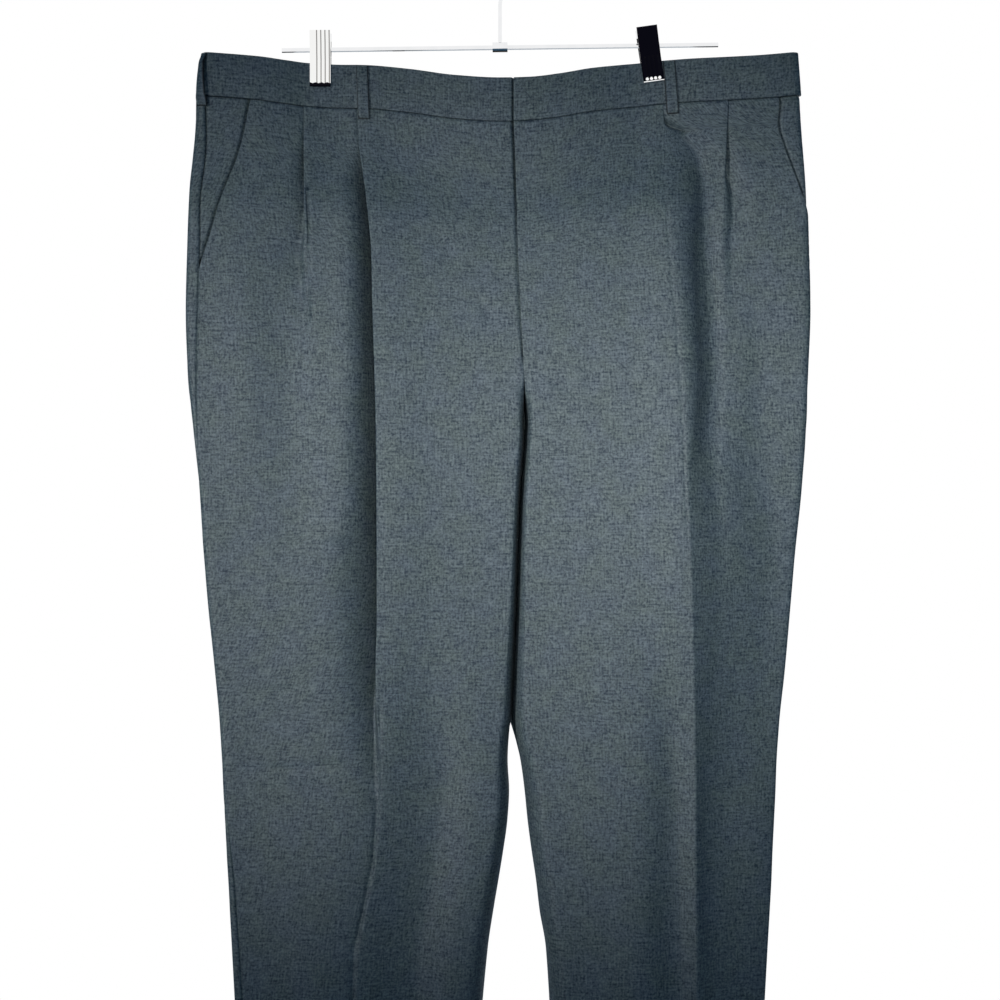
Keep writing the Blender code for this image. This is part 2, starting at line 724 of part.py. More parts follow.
def jaw(name, side, facing, flutes, collection, finish):
    """One pressed jaw of a clip: a finger tab, a bend over the sleeve, and a plate that grips
    the waistband. Facing is -1 in front and 1 behind, and flutes are the ribs pressed into it."""
    grip = band_depth(side, SIDES[side] * CLIP_X[side], "front") + BAND_WALL / 2 + LAYER_GAP + JAW_WALL / 2
    over = SLEEVE_RADIUS + LAYER_GAP + JAW_WALL / 2
    path = (  # height above the bar, distance from the hanger's plane, share of the flutes
        (17.0, over + 2.4, 0.0),
        (7.0, over + 0.8, 0.0),
        (3.0, over, 0.0),
        (-3.0, over, 0.0),
        (-10.0, grip, 0.0),
        (-12.0, grip, 1.0),
        (5.0 - CLIP_REACH, grip, 1.0),
        (3.2 - CLIP_REACH, grip, 0.0),
        (-CLIP_REACH, grip + 1.8, 0.0),
    )
    ribs = [(centre + step, FLUTE_DEPTH * (step == 0)) for centre in flutes for step in (-1.2, 0.0, 1.2)]
    columns = [(-CLIP_WIDTH / 2, 0.0), *ribs, (CLIP_WIDTH / 2, 0.0)]
    lean = math.radians(CLIP_LEAN[side])
    rows = []
    for height, away, share in path:
        row = []
        for across, rib in columns[::-facing]:
            x = CLIP_X[side] + across * math.cos(lean) - height * math.sin(lean)
            z = bar_height(CLIP_X[side]) + across * math.sin(lean) + height * math.cos(lean)
            row.append(Vector((x, facing * (away + rib * share), z)) * MM)
        rows.append(row)
    return sheet(name, rows, JAW_WALL, collection, finish)


def hook_points():
    """The hook's wire: round the rail, then back in to a shank over the middle of the bar."""
    radius = HOOK_RADIUS + HOOK_WIRE
    points = [(radius * math.cos(math.radians(a)), -HOOK_RADIUS + radius * math.sin(math.radians(a)))
              for a in range(200, -51, -10)]
    x, z = points[-1]
    heading = math.radians(220)
    straight = (x - HOOK_SWEEP * (1 - math.sin(math.radians(40)))) / math.cos(math.radians(40))
    x, z = x + straight * math.cos(heading), z + straight * math.sin(heading)
    points.append((x, z))
    for a in range(230, 271, 10):
        turn = math.radians(a)
        points.append((x + HOOK_SWEEP * (math.sin(turn) - math.sin(heading)),
                       z - HOOK_SWEEP * (math.cos(turn) - math.cos(heading))))
    points.append((points[-1][0], BAR_Z + BOSS_RADIUS + LAYER_GAP))
    return [(px, 0.0, pz) for px, pz in points]


def make_hanger(collection, chrome):
    half = BAR_LENGTH / 2
    wire("hanger_bar", [(x, 0, bar_height(x)) for x in (-half, half)], BAR_RADIUS, collection, chrome)
    ring("hanger_boss", 0.0, BAR_RADIUS + LAYER_GAP, BOSS_RADIUS, 14.0, collection, chrome)
    wire("hanger_hook", hook_points(), HOOK_WIRE, collection, chrome)
    for side, x in CLIP_X.items():
        ring(f"clip_sleeve_{side}", x, BAR_RADIUS + LAYER_GAP, SLEEVE_RADIUS, 14.0, collection, chrome)
        jaw(f"clip_jaw_front_{side}", side, -1, (-6.0, -2.0, 2.0, 6.0), collection, chrome)
        jaw(f"clip_jaw_back_{side}", side, 1, (-6.0, -2.0, 2.0, 6.0), collection, chrome)


def main():
    for old in list(bpy.data.objects):
        bpy.data.objects.remove(old)
    collection = new_collection("Pleated trousers")
    make_trousers(collection, material("Grey worsted wool", (0.10, 0.13, 0.15), 0.85))
    make_hanger(collection, material("Chromed steel", (0.75, 0.76, 0.78), 0.12, 1.0))


main()
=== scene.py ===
# %% [markdown]
# # Pleated dress trousers on a clip hanger
# The construction of these trousers comes from a imported frame: every cut piece is there as a
# plain solid, at its real size and in its real place. This lesson dresses them. Each piece of
# cloth is laid again with many more points, the folds and creases are pressed into it, and a
# heathered worsted is woven over it. The hanger gets its chrome.

# %% Load the frame
import math
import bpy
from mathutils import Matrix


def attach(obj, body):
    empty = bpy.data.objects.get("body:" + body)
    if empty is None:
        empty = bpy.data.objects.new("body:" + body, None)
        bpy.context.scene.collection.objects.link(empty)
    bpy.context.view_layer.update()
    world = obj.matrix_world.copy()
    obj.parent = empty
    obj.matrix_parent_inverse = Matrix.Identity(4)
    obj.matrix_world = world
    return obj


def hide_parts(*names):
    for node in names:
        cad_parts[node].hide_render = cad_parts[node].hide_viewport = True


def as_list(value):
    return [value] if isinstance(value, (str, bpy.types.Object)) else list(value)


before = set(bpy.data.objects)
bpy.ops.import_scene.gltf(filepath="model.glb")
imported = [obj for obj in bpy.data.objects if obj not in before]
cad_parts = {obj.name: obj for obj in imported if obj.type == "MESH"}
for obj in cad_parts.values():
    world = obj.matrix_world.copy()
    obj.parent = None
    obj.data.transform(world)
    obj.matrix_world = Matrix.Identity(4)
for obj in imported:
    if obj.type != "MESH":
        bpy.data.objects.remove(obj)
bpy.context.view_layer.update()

from types import SimpleNamespace

import bpy
import numpy as np
from mathutils import Vector, noise

MM = 0.001  # sizes in this file are in mm
print("nodes in the frame:", len(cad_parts))

# %% [markdown]
# ## Camera
# The garment hangs flat and is seen square on from a little under two metres, so its width and
# its length are both true. The lens follows from the 940 mm that the frame takes in there.

# %% Camera
CAMERA_AWAY = 1.8
FRAME_WIDTH = 0.94
CAMERA_HEIGHT = -0.518

view = bpy.data.cameras.new("Camera")
view.sensor_width = 36.0
view.lens = view.sensor_width * CAMERA_AWAY / FRAME_WIDTH
camera = bpy.data.objects.new("Camera", view)
camera.location = (0.0, -CAMERA_AWAY, CAMERA_HEIGHT)
camera.rotation_euler = (math.radians(90), 0.0, 0.0)
bpy.context.scene.collection.objects.link(camera)
bpy.context.scene.camera = camera
print("lens", round(view.lens, 1), "mm")

# %% [markdown]
# ## The sizes of the cut
# A garment this size is easier to build from its measurements than to sculpt. The tables below
# say, at a few distances under the waist ("drop"), where the outline, the pressed crease and the
# pleats lie on each half, and how far the cloth stands out. The frame's solids are built from
# nearly the same sizes, so the fine cloth lies where they are, with somewhat deeper folds.
# Between the rows a table is read along a smooth curve that never overshoots.

# %% Tables with named columns
class Table:
    """Rows of numbers under named columns, read smoothly between the rows."""

    def __init__(self, columns, *rows):
        self.names = columns.split()
        self.rows = np.array(rows, float)

    def at(self, name, key):
        """The named column where the first column is key, which may be an array."""
        keys, values = self.rows[:, 0], self.rows[:, self.names.index(name)]
        key = np.clip(key, keys[0], keys[-1])
        i = np.clip(np.searchsorted(keys, key) - 1, 0, len(keys) - 2)
        steps = np.diff(keys)
        rise = np.diff(values) / steps
        before, after = rise[:-1], rise[1:]
        level = before * after <= 0
        between = np.where(level, 0.0, 2 * before * after / np.where(level, 1.0, before + after))
        ends = np.concatenate([rise[:1], between, rise[-1:]])
        t = (key - keys[i]) / steps[i]
        return (values[i] * (1 + 2 * t) * (1 - t) ** 2 + ends[i] * steps[i] * t * (1 - t) ** 2
                + values[i + 1] * t * t * (3 - 2 * t) - ends[i + 1] * steps[i] * t * t * (1 - t))


def smooth(t):
    t = np.clip(t, 0.0, 1.0)
    return t * t * (3 - 2 * t)


def mix(a, b, t):
    return a + (b - a) * t


# %% Cloth, waistband, pockets and fly
PANEL_WALL, BAND_WALL, LOOP_WALL = 1.0, 2.4, 1.2
SEAM_GAP, LAYER_GAP = 0.12, 0.4
WAIST_TOP, BAND_HEIGHT, BAND_TURN = -98.0, 41.0, 8.0
LOOP_WIDTH, LOOP_TAIL, LOOP_EASE = 11.2, 10.0, 0.8
FLY_UNDERLAP, FLY_END = 14.0, 285.0
POCKET_AT_WAIST, POCKET_BOW, POCKET_END = 43.5, 1.2, 205.0
CROTCH, SEAT_FOLD, HEM = 350.0, -8.0, 1112.0
SIDES = {"right": -1, "left": 1}

# The waistband from above: x across the body, the sag of its edge, and how far its front and
# its back stand from the hanger. The two clips pinch it flat.
WAIST = Table(
    "x sag front back",
    (-280, 0.0, 6.0, 6.0),
    (-226, 4.7, 7.5, 8.0),
    (-200, 7.9, 5.0, 5.2),
    (-181, 9.8, 1.8, 1.8),
    (-156, 11.3, 1.8, 1.8),
    (-127, 12.5, 5.5, 6.0),
    (-85, 17.0, 9.5, 10.0),
    (-42, 23.5, 13.5, 13.0),
    (0, 26.3, 15.5, 14.5),
    (28, 25.4, 15.0, 14.0),
    (56, 21.6, 12.5, 12.0),
    (85, 16.0, 9.0, 9.5),
    (113, 12.2, 4.6, 5.5),
    (131, 10.0, 1.8, 1.8),
    (156, 7.3, 1.8, 1.8),
    (176, 6.3, 4.4, 4.6),
    (205, 5.4, 7.0, 7.4),
    (240, 3.8, 8.0, 8.0),
    (280, 0.0, 6.0, 6.0),
)
CENTRE_AT_WAIST = 12.5  # the centre front seam lies this far to the wearer's left

# %% The outline of each half
OUTLINE = {
    "right": Table(
        "drop outer inner crease pleat seam_shift",
        (0, 280.0, -12.3, 133.4, 183.0, 12),
        (41, 285.8, -12.8, 133.2, 183.2, 12),
        (72, 286.7, -14.0, 131.4, 182.8, 14),
        (100, 288.8, -14.8, 127.0, 181.7, 17.7),
        (129, 291.0, -15.6, 122.6, 180.6, 21.5),
        (185, 292.3, -17.0, 117.2, 178.0, 27.5),
        (241, 293.2, -19.2, 115.8, 176.4, 30),
        (297, 291.6, -22.0, 113.9, 176.0, 28.5),
        (350, 286.4, -22.4, 112.6, 176.0, 23),
        (411, 280.1, -18.5, 112.0, 176.0, 16),
        (467, 276.4, -15.9, 111.8, 175.0, 10),
        (524, 271.7, -14.0, 111.7, 173.0, 8),
        (580, 266.0, -11.6, 112.9, 170.0, 8),
        (624, 262.0, -10.1, 111.4, 168.0, 8),
        (636, 261.3, -8.4, 110.4, 168.0, 8),
        (665, 259.6, -6.8, 108.2, 167.0, 9),
        (693, 258.5, -8.2, 109.0, 167.0, 10),
        (721, 257.0, -6.6, 110.6, 168.0, 16),
        (749, 255.7, -2.8, 113.4, 169.0, 18),
        (778, 254.2, 1.9, 118.2, 170.0, 19),
        (806, 252.9, 6.6, 123.6, 171.0, 19),
        (841, 251.0, 11.8, 129.0, 172.0, 19),
        (940, 246.0, 20.0, 136.0, 173.0, 18),
        (1112, 239.0, 26.0, 138.0, 173.0, 17),
    ),
    "left": Table(
        "drop outer inner crease pleat seam_shift",
        (0, 280.0, 12.3, 152.0, 213.0, -19),
        (41, 283.0, 12.8, 152.6, 212.6, -18),
        (72, 284.8, 14.0, 153.0, 211.2, -9),
        (129, 288.4, 15.6, 154.2, 207.4, -8),
        (185, 290.0, 17.0, 157.2, 205.4, -10),
        (241, 291.2, 19.2, 161.8, 205.0, -8),
        (297, 289.0, 22.0, 165.8, 210.0, -6),
        (350, 287.2, 24.0, 168.6, 216.0, -2),
        (411, 283.0, 20.1, 171.2, 224.0, 0),
        (467, 277.3, 17.5, 173.4, 229.0, 0),
        (524, 272.6, 15.6, 175.4, 232.0, 0),
        (580, 267.9, 13.2, 176.8, 233.0, 0),
        (624, 263.2, 11.7, 177.9, 233.0, 0),
        (636, 262.3, 13.2, 178.2, 233.0, 0),
        (665, 260.4, 19.7, 178.8, 232.0, 0),
        (693, 259.4, 23.5, 179.0, 231.0, 0),
        (721, 258.0, 26.3, 179.1, 231.0, 0),
        (749, 256.6, 30.0, 179.3, 230.0, 0),
        (778, 255.5, 34.3, 179.7, 230.0, 0),
        (806, 254.0, 37.6, 180.2, 229.0, 0),
        (841, 252.0, 43.5, 180.6, 228.0, 0),
        (940, 247.0, 49.0, 181.5, 225.0, 0),
        (1112, 241.0, 54.0, 182.0, 221.0, 0),
    ),
}

# %% How far each half stands out, fore and aft
DEPTH_COLUMNS = ("drop fore_inner fore_crease fore_beyond fore_side aft_inner aft_crease aft_side"
                 " side_turn inner_turn")
DEPTH = {
    "right": Table(
        DEPTH_COLUMNS,
        (41, 15, 8, 8, 6, 14, 8, 6, 8, 20),
        (90, 17, 16, 15, 10, 16, 14, 9, 7, 20),
        (150, 25, 27, 25, 16, 21, 24, 11, 6, 20),
        (241, 32, 35, 33, 21, 25, 33, 12, 6, 22),
        (297, 34, 38, 36, 22, 28, 36, 13, 6, 16),
        (335, 34, 38, 37, 22, 28, 37, 13, 6, 6),
        (360, 34, 38, 37, 22, 28, 37, 13, 6, 5),
        (467, 32, 37, 36, 22, 25, 35, 12, 5, 5),
        (580, 29, 35, 34, 20, 22, 32, 11, 5, 7),
        (693, 26, 31, 31, 17, 19, 28, 10, 5, 12),
        (841, 22, 26, 27, 14, 16, 24, 9, 5, 16),
        (1112, 18, 22, 23, 11, 13, 20, 8, 5, 14),
    ),
    "left": Table(
        DEPTH_COLUMNS,
        (41, 15, 8, 8, 6, 14, 8, 6, 8, 20),
        (90, 17, 16, 12, 9, 16, 14, 9, 6, 20),
        (150, 25, 28, 14, 10, 21, 24, 11, 5, 20),
        (241, 32, 36, 15, 12, 25, 33, 12, 5, 22),
        (297, 34, 39, 16, 12, 28, 36, 13, 5, 18),
        (335, 34, 40, 17, 12, 28, 38, 13, 5, 8),
        (360, 34, 40, 18, 11, 28, 38, 13, 5, 6),
        (467, 30, 41, 26, 8, 25, 37, 12, 4, 7),
        (580, 28, 41, 31, 5, 23, 36, 11, 4, 12),
        (693, 26, 40, 30, 4, 22, 36, 10, 4, 17),
        (841, 24, 38, 27, 4, 21, 36, 10, 4, 16),
        (1112, 20, 34, 23, 4, 17, 33, 9, 4, 14),
    ),
}

# %% [markdown]
# ## Pleats and pressed creases
# A reverse pleat is cloth that comes outward, turns back under itself and turns out again. It is
# sewn shut at the waist seam, and lower down it opens into the pressed crease of the leg. So one
# fold serves for both: the tables give how sharply it turns, how far it runs under, how wide its
# valley is, and how high a ridge it stands on.

# %% Folds
CREASE = {
    "right": Table(
        "drop nose turn run valley rise crest flank hollow settle",
        (41, 0.75, 180, 1.4, 0.75, 34, 0.6, 20, 0, 12),
        (66, 0.75, 168, 1.8, 0.8, 46, 1.1, 22, 0, 14),
        (80, 0.75, 136, 6.0, 1.0, 50, 1.5, 25, 0, 18),
        (100, 0.75, 112, 20.0, 1.1, 52, 1.6, 30, 0, 25),
        (140, 0.75, 98, 27.0, 1.2, 60, 2.4, 40, 0, 33),
        (200, 0.75, 97, 35.0, 1.3, 61, 3.0, 48, 0, 43),
        (300, 0.75, 97, 38.0, 1.3, 62, 3.0, 50, 0, 47),
        (380, 0.75, 97, 38.0, 1.3, 61, 3.0, 50, 0, 54),
        (460, 0.75, 96, 38.0, 1.4, 58, 3.0, 50, 0, 68),
        (560, 0.75, 94, 28.0, 1.6, 51, 3.0, 48, 2, 66),
        (640, 0.75, 76, 12.0, 2.4, 35, 2.0, 40, 7, 60),
        (690, 0.75, 36, 4.0, 3.2, 16, 0.5, 32, 11, 48),
        (740, 0.75, 10, 2.0, 4.0, 8, 0.0, 30, 13, 40),
        (841, 0.75, 4, 1.5, 4.0, 9, 0.0, 28, 14, 40),
        (1112, 0.75, 4, 1.5, 4.0, 9, 0.0, 28, 12, 40),
    ),
    "left": Table(
        "drop nose turn run valley rise crest flank hollow settle",
        (41, 0.75, 180, 14.0, 0.75, 0, 0.0, 20, 0, 12),
        (52, 0.75, 178, 6.0, 0.75, 2, 0.2, 22, 0, 13),
        (61, 1.2, 80, 1.4, 1.2, 2, 0.3, 22, 0, 14),
        (70, 56.0, 12, 3.0, 8.0, 2, 0.6, 24, 0, 18),
        (84, 60.0, 22, 4.0, 8.0, 3, 1.2, 26, 0, 22),
        (100, 50.0, 33, 4.0, 8.0, 4, 2.4, 28, 0, 25),
        (118, 41.0, 46, 4.0, 9.0, 5, 3.8, 30, 0, 27),
        (160, 30.0, 60, 4.0, 14.0, 5, 6.0, 34, 0, 31),
        (200, 24.0, 63, 4.0, 19.0, 4, 6.0, 38, 0, 33),
        (300, 19.0, 62, 6.0, 23.0, 2, 7.0, 42, 0, 36),
        (350, 13.0, 56, 10.0, 25.0, -1, 7.0, 44, 0, 40),
        (400, 5.0, 37, 22.0, 30.0, -12, 7.0, 44, 0, 48),
        (460, 2.5, 31, 27.0, 48.0, -17, 7.0, 44, 0, 54),
        (560, 2.5, 34, 21.0, 72.0, -25, 5.0, 40, 3, 54),
        (640, 2.5, 37, 14.0, 62.0, -27, 2.0, 24, 9, 50),
        (740, 2.5, 41, 8.0, 50.0, -28, 0.5, 10, 13, 46),
        (841, 2.5, 42, 7.0, 46.0, -26, 0.5, 9, 14, 46),
        (1112, 2.5, 42, 6.0, 44.0, -24, 0.5, 9, 13, 46),
    ),
}
# The hollow inside the crease: how far in, and how wide on its far and on its near side.
HOLLOW = {"right": (51.0, 22.0, 50.0), "left": (17.0, 20.0, 24.0)}
PLEAT = {
    "right": Table(
        "drop turn run valley rise crest settle",
        (41, 180, 1.2, 0.75, 36, 0.6, 10),
        (60, 172, 1.4, 0.8, 46, 1.2, 12),
        (74, 140, 3.0, 1.0, 52, 1.6, 14),
        (95, 110, 8.0, 1.2, 54, 2.2, 18),
        (140, 94, 7.0, 1.6, 34, 3.0, 26),
        (200, 40, 3.5, 6.0, 14, 2.2, 30),
        (260, 16, 3.0, 16.0, 4, 1.0, 26),
        (300, 3, 2.0, 28.0, 0, 0.0, 26),
        (1112, 2, 2.0, 30.0, 0, 0.0, 26),
    ),
    "left": Table(
        "drop turn run valley rise crest settle",
        (41, 180, 1.2, 0.75, 30, 0.6, 10),
        (60, 172, 1.4, 0.8, 38, 1.1, 12),
        (74, 140, 3.0, 1.0, 42, 1.5, 14),
        (95, 100, 5.0, 1.2, 36, 2.6, 16),
        (140, 50, 2.8, 4.0, 10, 3.2, 22),
        (200, 20, 2.4, 10.0, 2, 2.0, 26),
        (260, 7, 2.2, 18.0, 0, 0.8, 28),
        (300, 3, 2.0, 28.0, 0, 0.0, 26),
        (1112, 2, 2.0, 30.0, 0, 0.0, 26),
    ),
}
# Where the centre seams dive between the legs, and how far the backs lie past the fronts there.
FORK = Table(
    "drop front back lap",
    (41, 0.0, 0.0, 0),
    (284, 0.0, 0.0, 0),
    (305, 0.0, 0.03, 2),
    (318, 0.12, 0.12, 5),
    (334, 0.5, 0.5, 7),
    (350, 1.0, 1.0, 8),
    (610, 1.0, 1.0, 8),
    (650, 1.0, 1.0, 2),
    (690, 1.0, 1.0, 0),
    (1112, 1.0, 1.0, 0),
)
BACK_CREASE = Table(
    "drop crest flank",
    (41, 0.0, 34),
    (297, 0.0, 34),
    (380, 2.5, 30),
    (500, 5.0, 26),
    (1112, 6.0, 22),
)
SHORTEST_ARC, CREST_FLAT = 2.4, 4.5  # the least bend, and the level strip before the crease
print("tables for", ", ".join(OUTLINE), "with", len(OUTLINE["right"].rows), "rows of outline")

# %% [markdown]
# ## Sections
# A panel is a stack of sections, one every few millimetres down the leg. A section is drawn as a
# tailor would walk it with a finger: from the fly or the inseam over the thigh, up the ridge,
# round the nose of the crease and through its valley, over the outer pleat, and round the side.
# Each is worked out in two coordinates, "out" from the middle of the body and "fore" to its front.

# %% One half's sizes at one drop
SIDE_EASE = 0.8  # half a wall and a little, so that the cloth's outer face is on the outline
WAIST_STEP, BAND_FADE = 0.5, 110  # the legs start just outside the band and soon leave its form
SIDE_EVEN = 0.7  # towards the side the cloth falls away: 0 is an S-shaped slope, 1 an even one
PROBE = 2.0  # a slope is read over this distance


def sizes_at(side, drop):
    found = {}
    for prefix, table in (("", OUTLINE[side]), ("", DEPTH[side]), ("fold_", CREASE[side]),
                          ("tuck_", PLEAT[side]), ("fork_", FORK), ("back_", BACK_CREASE)):
        for name in table.names[1:]:
            found[prefix + name] = float(table.at(name, drop))
    found["outer"] -= SIDE_EASE
    return SimpleNamespace(side=side, drop=drop, **found)


def band_depth(side, out, wall):
    return WAIST.at(wall, SIDES[side] * np.asarray(out, float))


def face_depth(cut, out, wall):
    """How far the front or the back stands out, before its folds and turned edges."""
    out = np.asarray(out, float)
    word = "fore" if wall == "front" else "aft"
    at_inner, at_crease, at_side = (getattr(cut, f"{word}_{place}")
                                    for place in ("inner", "crease", "side"))
    beyond = cut.fore_beyond if wall == "front" else at_crease
    share = np.clip((out - cut.crease) / (cut.outer - cut.side_turn - cut.crease), 0.0, 1.0)
    inner = mix(at_inner, at_crease, smooth((out - cut.inner) / (cut.crease - cut.inner)))
    outer = mix(beyond, at_side, mix(smooth(share), share, SIDE_EVEN))
    at_waist = band_depth(cut.side, out, wall) + WAIST_STEP
    below = np.where(out < cut.crease, inner, outer)
    return mix(at_waist, below, smooth((cut.drop - BAND_HEIGHT) / BAND_FADE))


def slope(face, out):
    return math.atan2(face(out) - face(out - PROBE), PROBE)


def slope_ahead(face, out):
    return (face(out + PROBE) - face(out)) / PROBE


# %% A polyline that is read by length
HALF_STEP = 0.8  # its direction is read over twice this


class Line:
    def __init__(self, points):
        self.points = np.asarray(points, float)
        steps = np.linalg.norm(np.diff(self.points, axis=0), axis=1)
        self.reach = np.concatenate([[0.0], np.cumsum(steps)])
        self.length = float(self.reach[-1])

    def at(self, lengths):
        return np.column_stack([np.interp(lengths, self.reach, self.points[:, i]) for i in (0, 1)])

    def beside(self, lengths, distance):
        """The points at these lengths, moved to the right of the way the line runs."""
        lengths = np.atleast_1d(lengths)
        ahead = self.at(np.minimum(lengths + HALF_STEP, self.length))
        along = ahead - self.at(np.maximum(lengths - HALF_STEP, 0.0))
        along /= np.linalg.norm(along, axis=1)[:, None]
        return self.at(lengths) + distance * np.column_stack([along[:, 1], -along[:, 0]])


# %% A pressed fold, and a turned edge
EDGE_COLUMNS = 14


def fold_path(start, heading, nose, turn, run, valley, leave, steps):
    """Round the nose until the cloth points turn degrees inward, under, and out of the valley."""
    back = -math.radians(turn)
    moves = []
    for length, begin, end, count in (
        (max(nose * (heading - back), SHORTEST_ARC), heading, back, steps[0]),
        (run, back, back, steps[1]),
        (max(valley * (leave - back), SHORTEST_ARC), back, leave, steps[2]),
    ):
        way = mix(begin, end, (np.arange(count) + 0.5) / count)
        moves.append(length / count * np.column_stack([np.cos(way), np.sin(way)]))
    return start + np.cumsum(np.vstack(moves), axis=0)


def inner_edge(cut, edge, face, lap):
    """The turned inner edge: from the seam between the legs to the face."""
    angle = np.linspace(0.0, math.pi / 2, EDGE_COLUMNS + 1)
    moved = mix(1.0, smooth(angle * 4 / math.pi), cut.fork_back) * lap
    out = cut.inner + cut.inner_turn * (1 - np.cos(angle)) - SIDES[cut.side] * moved
    return np.column_stack([out, mix(edge, face(out), np.sin(angle))])


# %% The front, from its inner edge to the outer pleat
FACE_COLUMNS, RIDGE_COLUMNS, NOSE_COLUMNS = 14, 14, 4
CREASE_COLUMN = EDGE_COLUMNS + FACE_COLUMNS + RIDGE_COLUMNS + NOSE_COLUMNS  # the fold's nose
MAIN_STEPS, BETWEEN_COLUMNS, SMALL_STEPS = (12, 5, 12), 14, (8, 3, 8)
PLEAT_APART, PLEAT_FLANK, CROWDED = 8.0, 16, 1.4  # columns crowd towards the main fold's valley
TIGHT_NOSE, SOFT_NOSE = 0.75, 9.0
TIGHT_TURN, SOFTENS_OVER, FLAT_TURN = 85, 50, 30  # an outer pleat that turns less is softer


def front_section(cut):
    def plain(out):
        return face_depth(cut, out, "front")

    def face(out):
        inner = plain(np.minimum(out, cut.crease - 0.01))
        ridge = cut.fold_crest * smooth(1 - (cut.crease - CREST_FLAT - out) / cut.fold_flank)
        away, far, near = HOLLOW[cut.side]
        off = cut.crease - out - away
        return inner + ridge - cut.fold_hollow * np.exp(-(off / np.where(off > 0, far, near)) ** 2)

    def settled(valley, width, rise):
        """From the valley at the slope of its rise, by a smooth curve to the plain face."""
        gap = valley[1] - float(plain(valley[0]))
        climb = width * (math.tan(rise) - slope_ahead(plain, valley[0]))

        def beyond(out):
            t = np.clip((out - valley[0]) / width, 0.0, 1.0)
            return plain(out) + gap * (1 - smooth(t)) + climb * t * (1 - t) ** 2

        return beyond

    edge = inner_edge(cut, mix(face(cut.inner), SEAT_FOLD, cut.fork_front), face, 0.0)
    ridge = cut.crease - CREST_FLAT
    outs = np.concatenate([
        np.linspace(edge[-1, 0], ridge - cut.fold_flank, FACE_COLUMNS + 1)[1:],
        np.linspace(ridge - cut.fold_flank, ridge, RIDGE_COLUMNS + 1)[1:],
        np.linspace(ridge, cut.crease, NOSE_COLUMNS + 1)[1:],
    ])
    thigh = np.column_stack([outs, face(outs)])
    fold = fold_path(thigh[-1], slope(face, cut.crease), cut.fold_nose, cut.fold_turn, cut.fold_run,
                     cut.fold_valley, math.radians(cut.fold_rise), MAIN_STEPS)
    valley = fold[-1]
    beyond = settled(valley, cut.fold_settle, math.radians(cut.fold_rise))
    pleat = max(cut.pleat, valley[0] + PLEAT_APART)
    outs = mix(valley[0], pleat, np.linspace(0.0, 1.0, BETWEEN_COLUMNS + 1)[1:] ** CROWDED)
    crest = cut.tuck_crest * smooth(1 - (pleat - outs) / PLEAT_FLANK)
    between = np.column_stack([outs, beyond(outs) + crest])
    along = slope(beyond, pleat)
    rise = mix(along, math.radians(cut.tuck_rise), smooth(cut.tuck_turn / FLAT_TURN))
    nose = mix(TIGHT_NOSE, SOFT_NOSE, smooth((TIGHT_TURN - cut.tuck_turn) / SOFTENS_OVER))
    turn = max(cut.tuck_turn, -math.degrees(along))
    tuck = fold_path(between[-1], along, nose, turn, cut.tuck_run, cut.tuck_valley, rise,
                     SMALL_STEPS)
    points = np.vstack([edge, thigh, fold, between, tuck])
    return points, settled(tuck[-1], cut.tuck_settle, rise)


# %% Round the side
SIDE_COLUMNS, CORNER_COLUMNS, LEVEL_COLUMNS, BEHIND_COLUMNS = 40, 18, 6, 24
SHORT_OF_CREASE = 5  # the line ends this far before the back's crease


def side_line(cut, start, face):
    """The cloth from a point on the front, round the side to the back, and where it folds."""
    begin, width = cut.outer - cut.side_turn, cut.side_turn
    outs = np.linspace(start[0], begin, SIDE_COLUMNS + 1)[1:]
    front = np.column_stack([outs, face(outs)])
    back_reach = float(face_depth(cut, begin, "back"))
    angle = np.radians(np.linspace(0, 90, CORNER_COLUMNS + 1)[1:])
    corner = np.column_stack([begin + width * np.sin(angle), 1 - np.cos(angle)])
    falling = 1 - np.arange(1, LEVEL_COLUMNS + 1) / LEVEL_COLUMNS
    corners = []
    for reach in (front[-1, 1], back_reach):
        height = min(width, reach)
        round_it = np.column_stack([corner[:, 0], reach - height * corner[:, 1]])
        level = np.column_stack([np.full(LEVEL_COLUMNS, cut.outer), (reach - height) * falling])
        corners.append(np.vstack([round_it, level]))
    behind = np.vstack([[begin, back_reach], corners[1]])[::-1] * (1, -1)
    turn = np.vstack([corners[0], behind[1:]])
    outs = np.linspace(begin, cut.crease + SHORT_OF_CREASE, BEHIND_COLUMNS + 1)[1:]
    back = np.column_stack([outs, -face_depth(cut, outs, "back")])
    line = Line(np.vstack([[start], front, turn, back]))
    return line, float(line.reach[SIDE_COLUMNS + CORNER_COLUMNS + LEVEL_COLUMNS])


def half_section(cut):
    """The front's points, the line round the side, and where on it the mouth and the seam are."""
    points, face = front_section(cut)
    line, fold = side_line(cut, points[-1], face)
    seam = fold - cut.seam_shift
    share = max(0.0, (POCKET_END - cut.drop) / (POCKET_END - BAND_HEIGHT))
    mouth = seam - POCKET_AT_WAIST * share * mix(POCKET_BOW, 1.0, share)
    return points, line, mouth, seam


for side in SIDES:
    _, line, mouth, seam = half_section(sizes_at(side, BAND_HEIGHT))
    print(side, "half at the waist seam: pocket mouth", round(seam - mouth, 1), "mm off the seam")


# %% Edges that meet, and the fly's underlap
EDGE_BLEND = 4.0  # an edge that is moved takes this much of its panel along
UNDERLAP_COLUMNS, LAPPED_POINTS = 10, 6
TOP_EASE, LOW_EASE, EASE_FROM, EASE_OVER = 4.0, 1.0, 70, 110  # the room behind the left edge
STEP_START, STEP_WIDTH, STEP_FADE = 0.3, 3.0, 18  # across the step, and below the fly's end
TONGUE_BEFORE, TONGUE_FADE = 50, 45  # the underlap narrows away above the fly's end


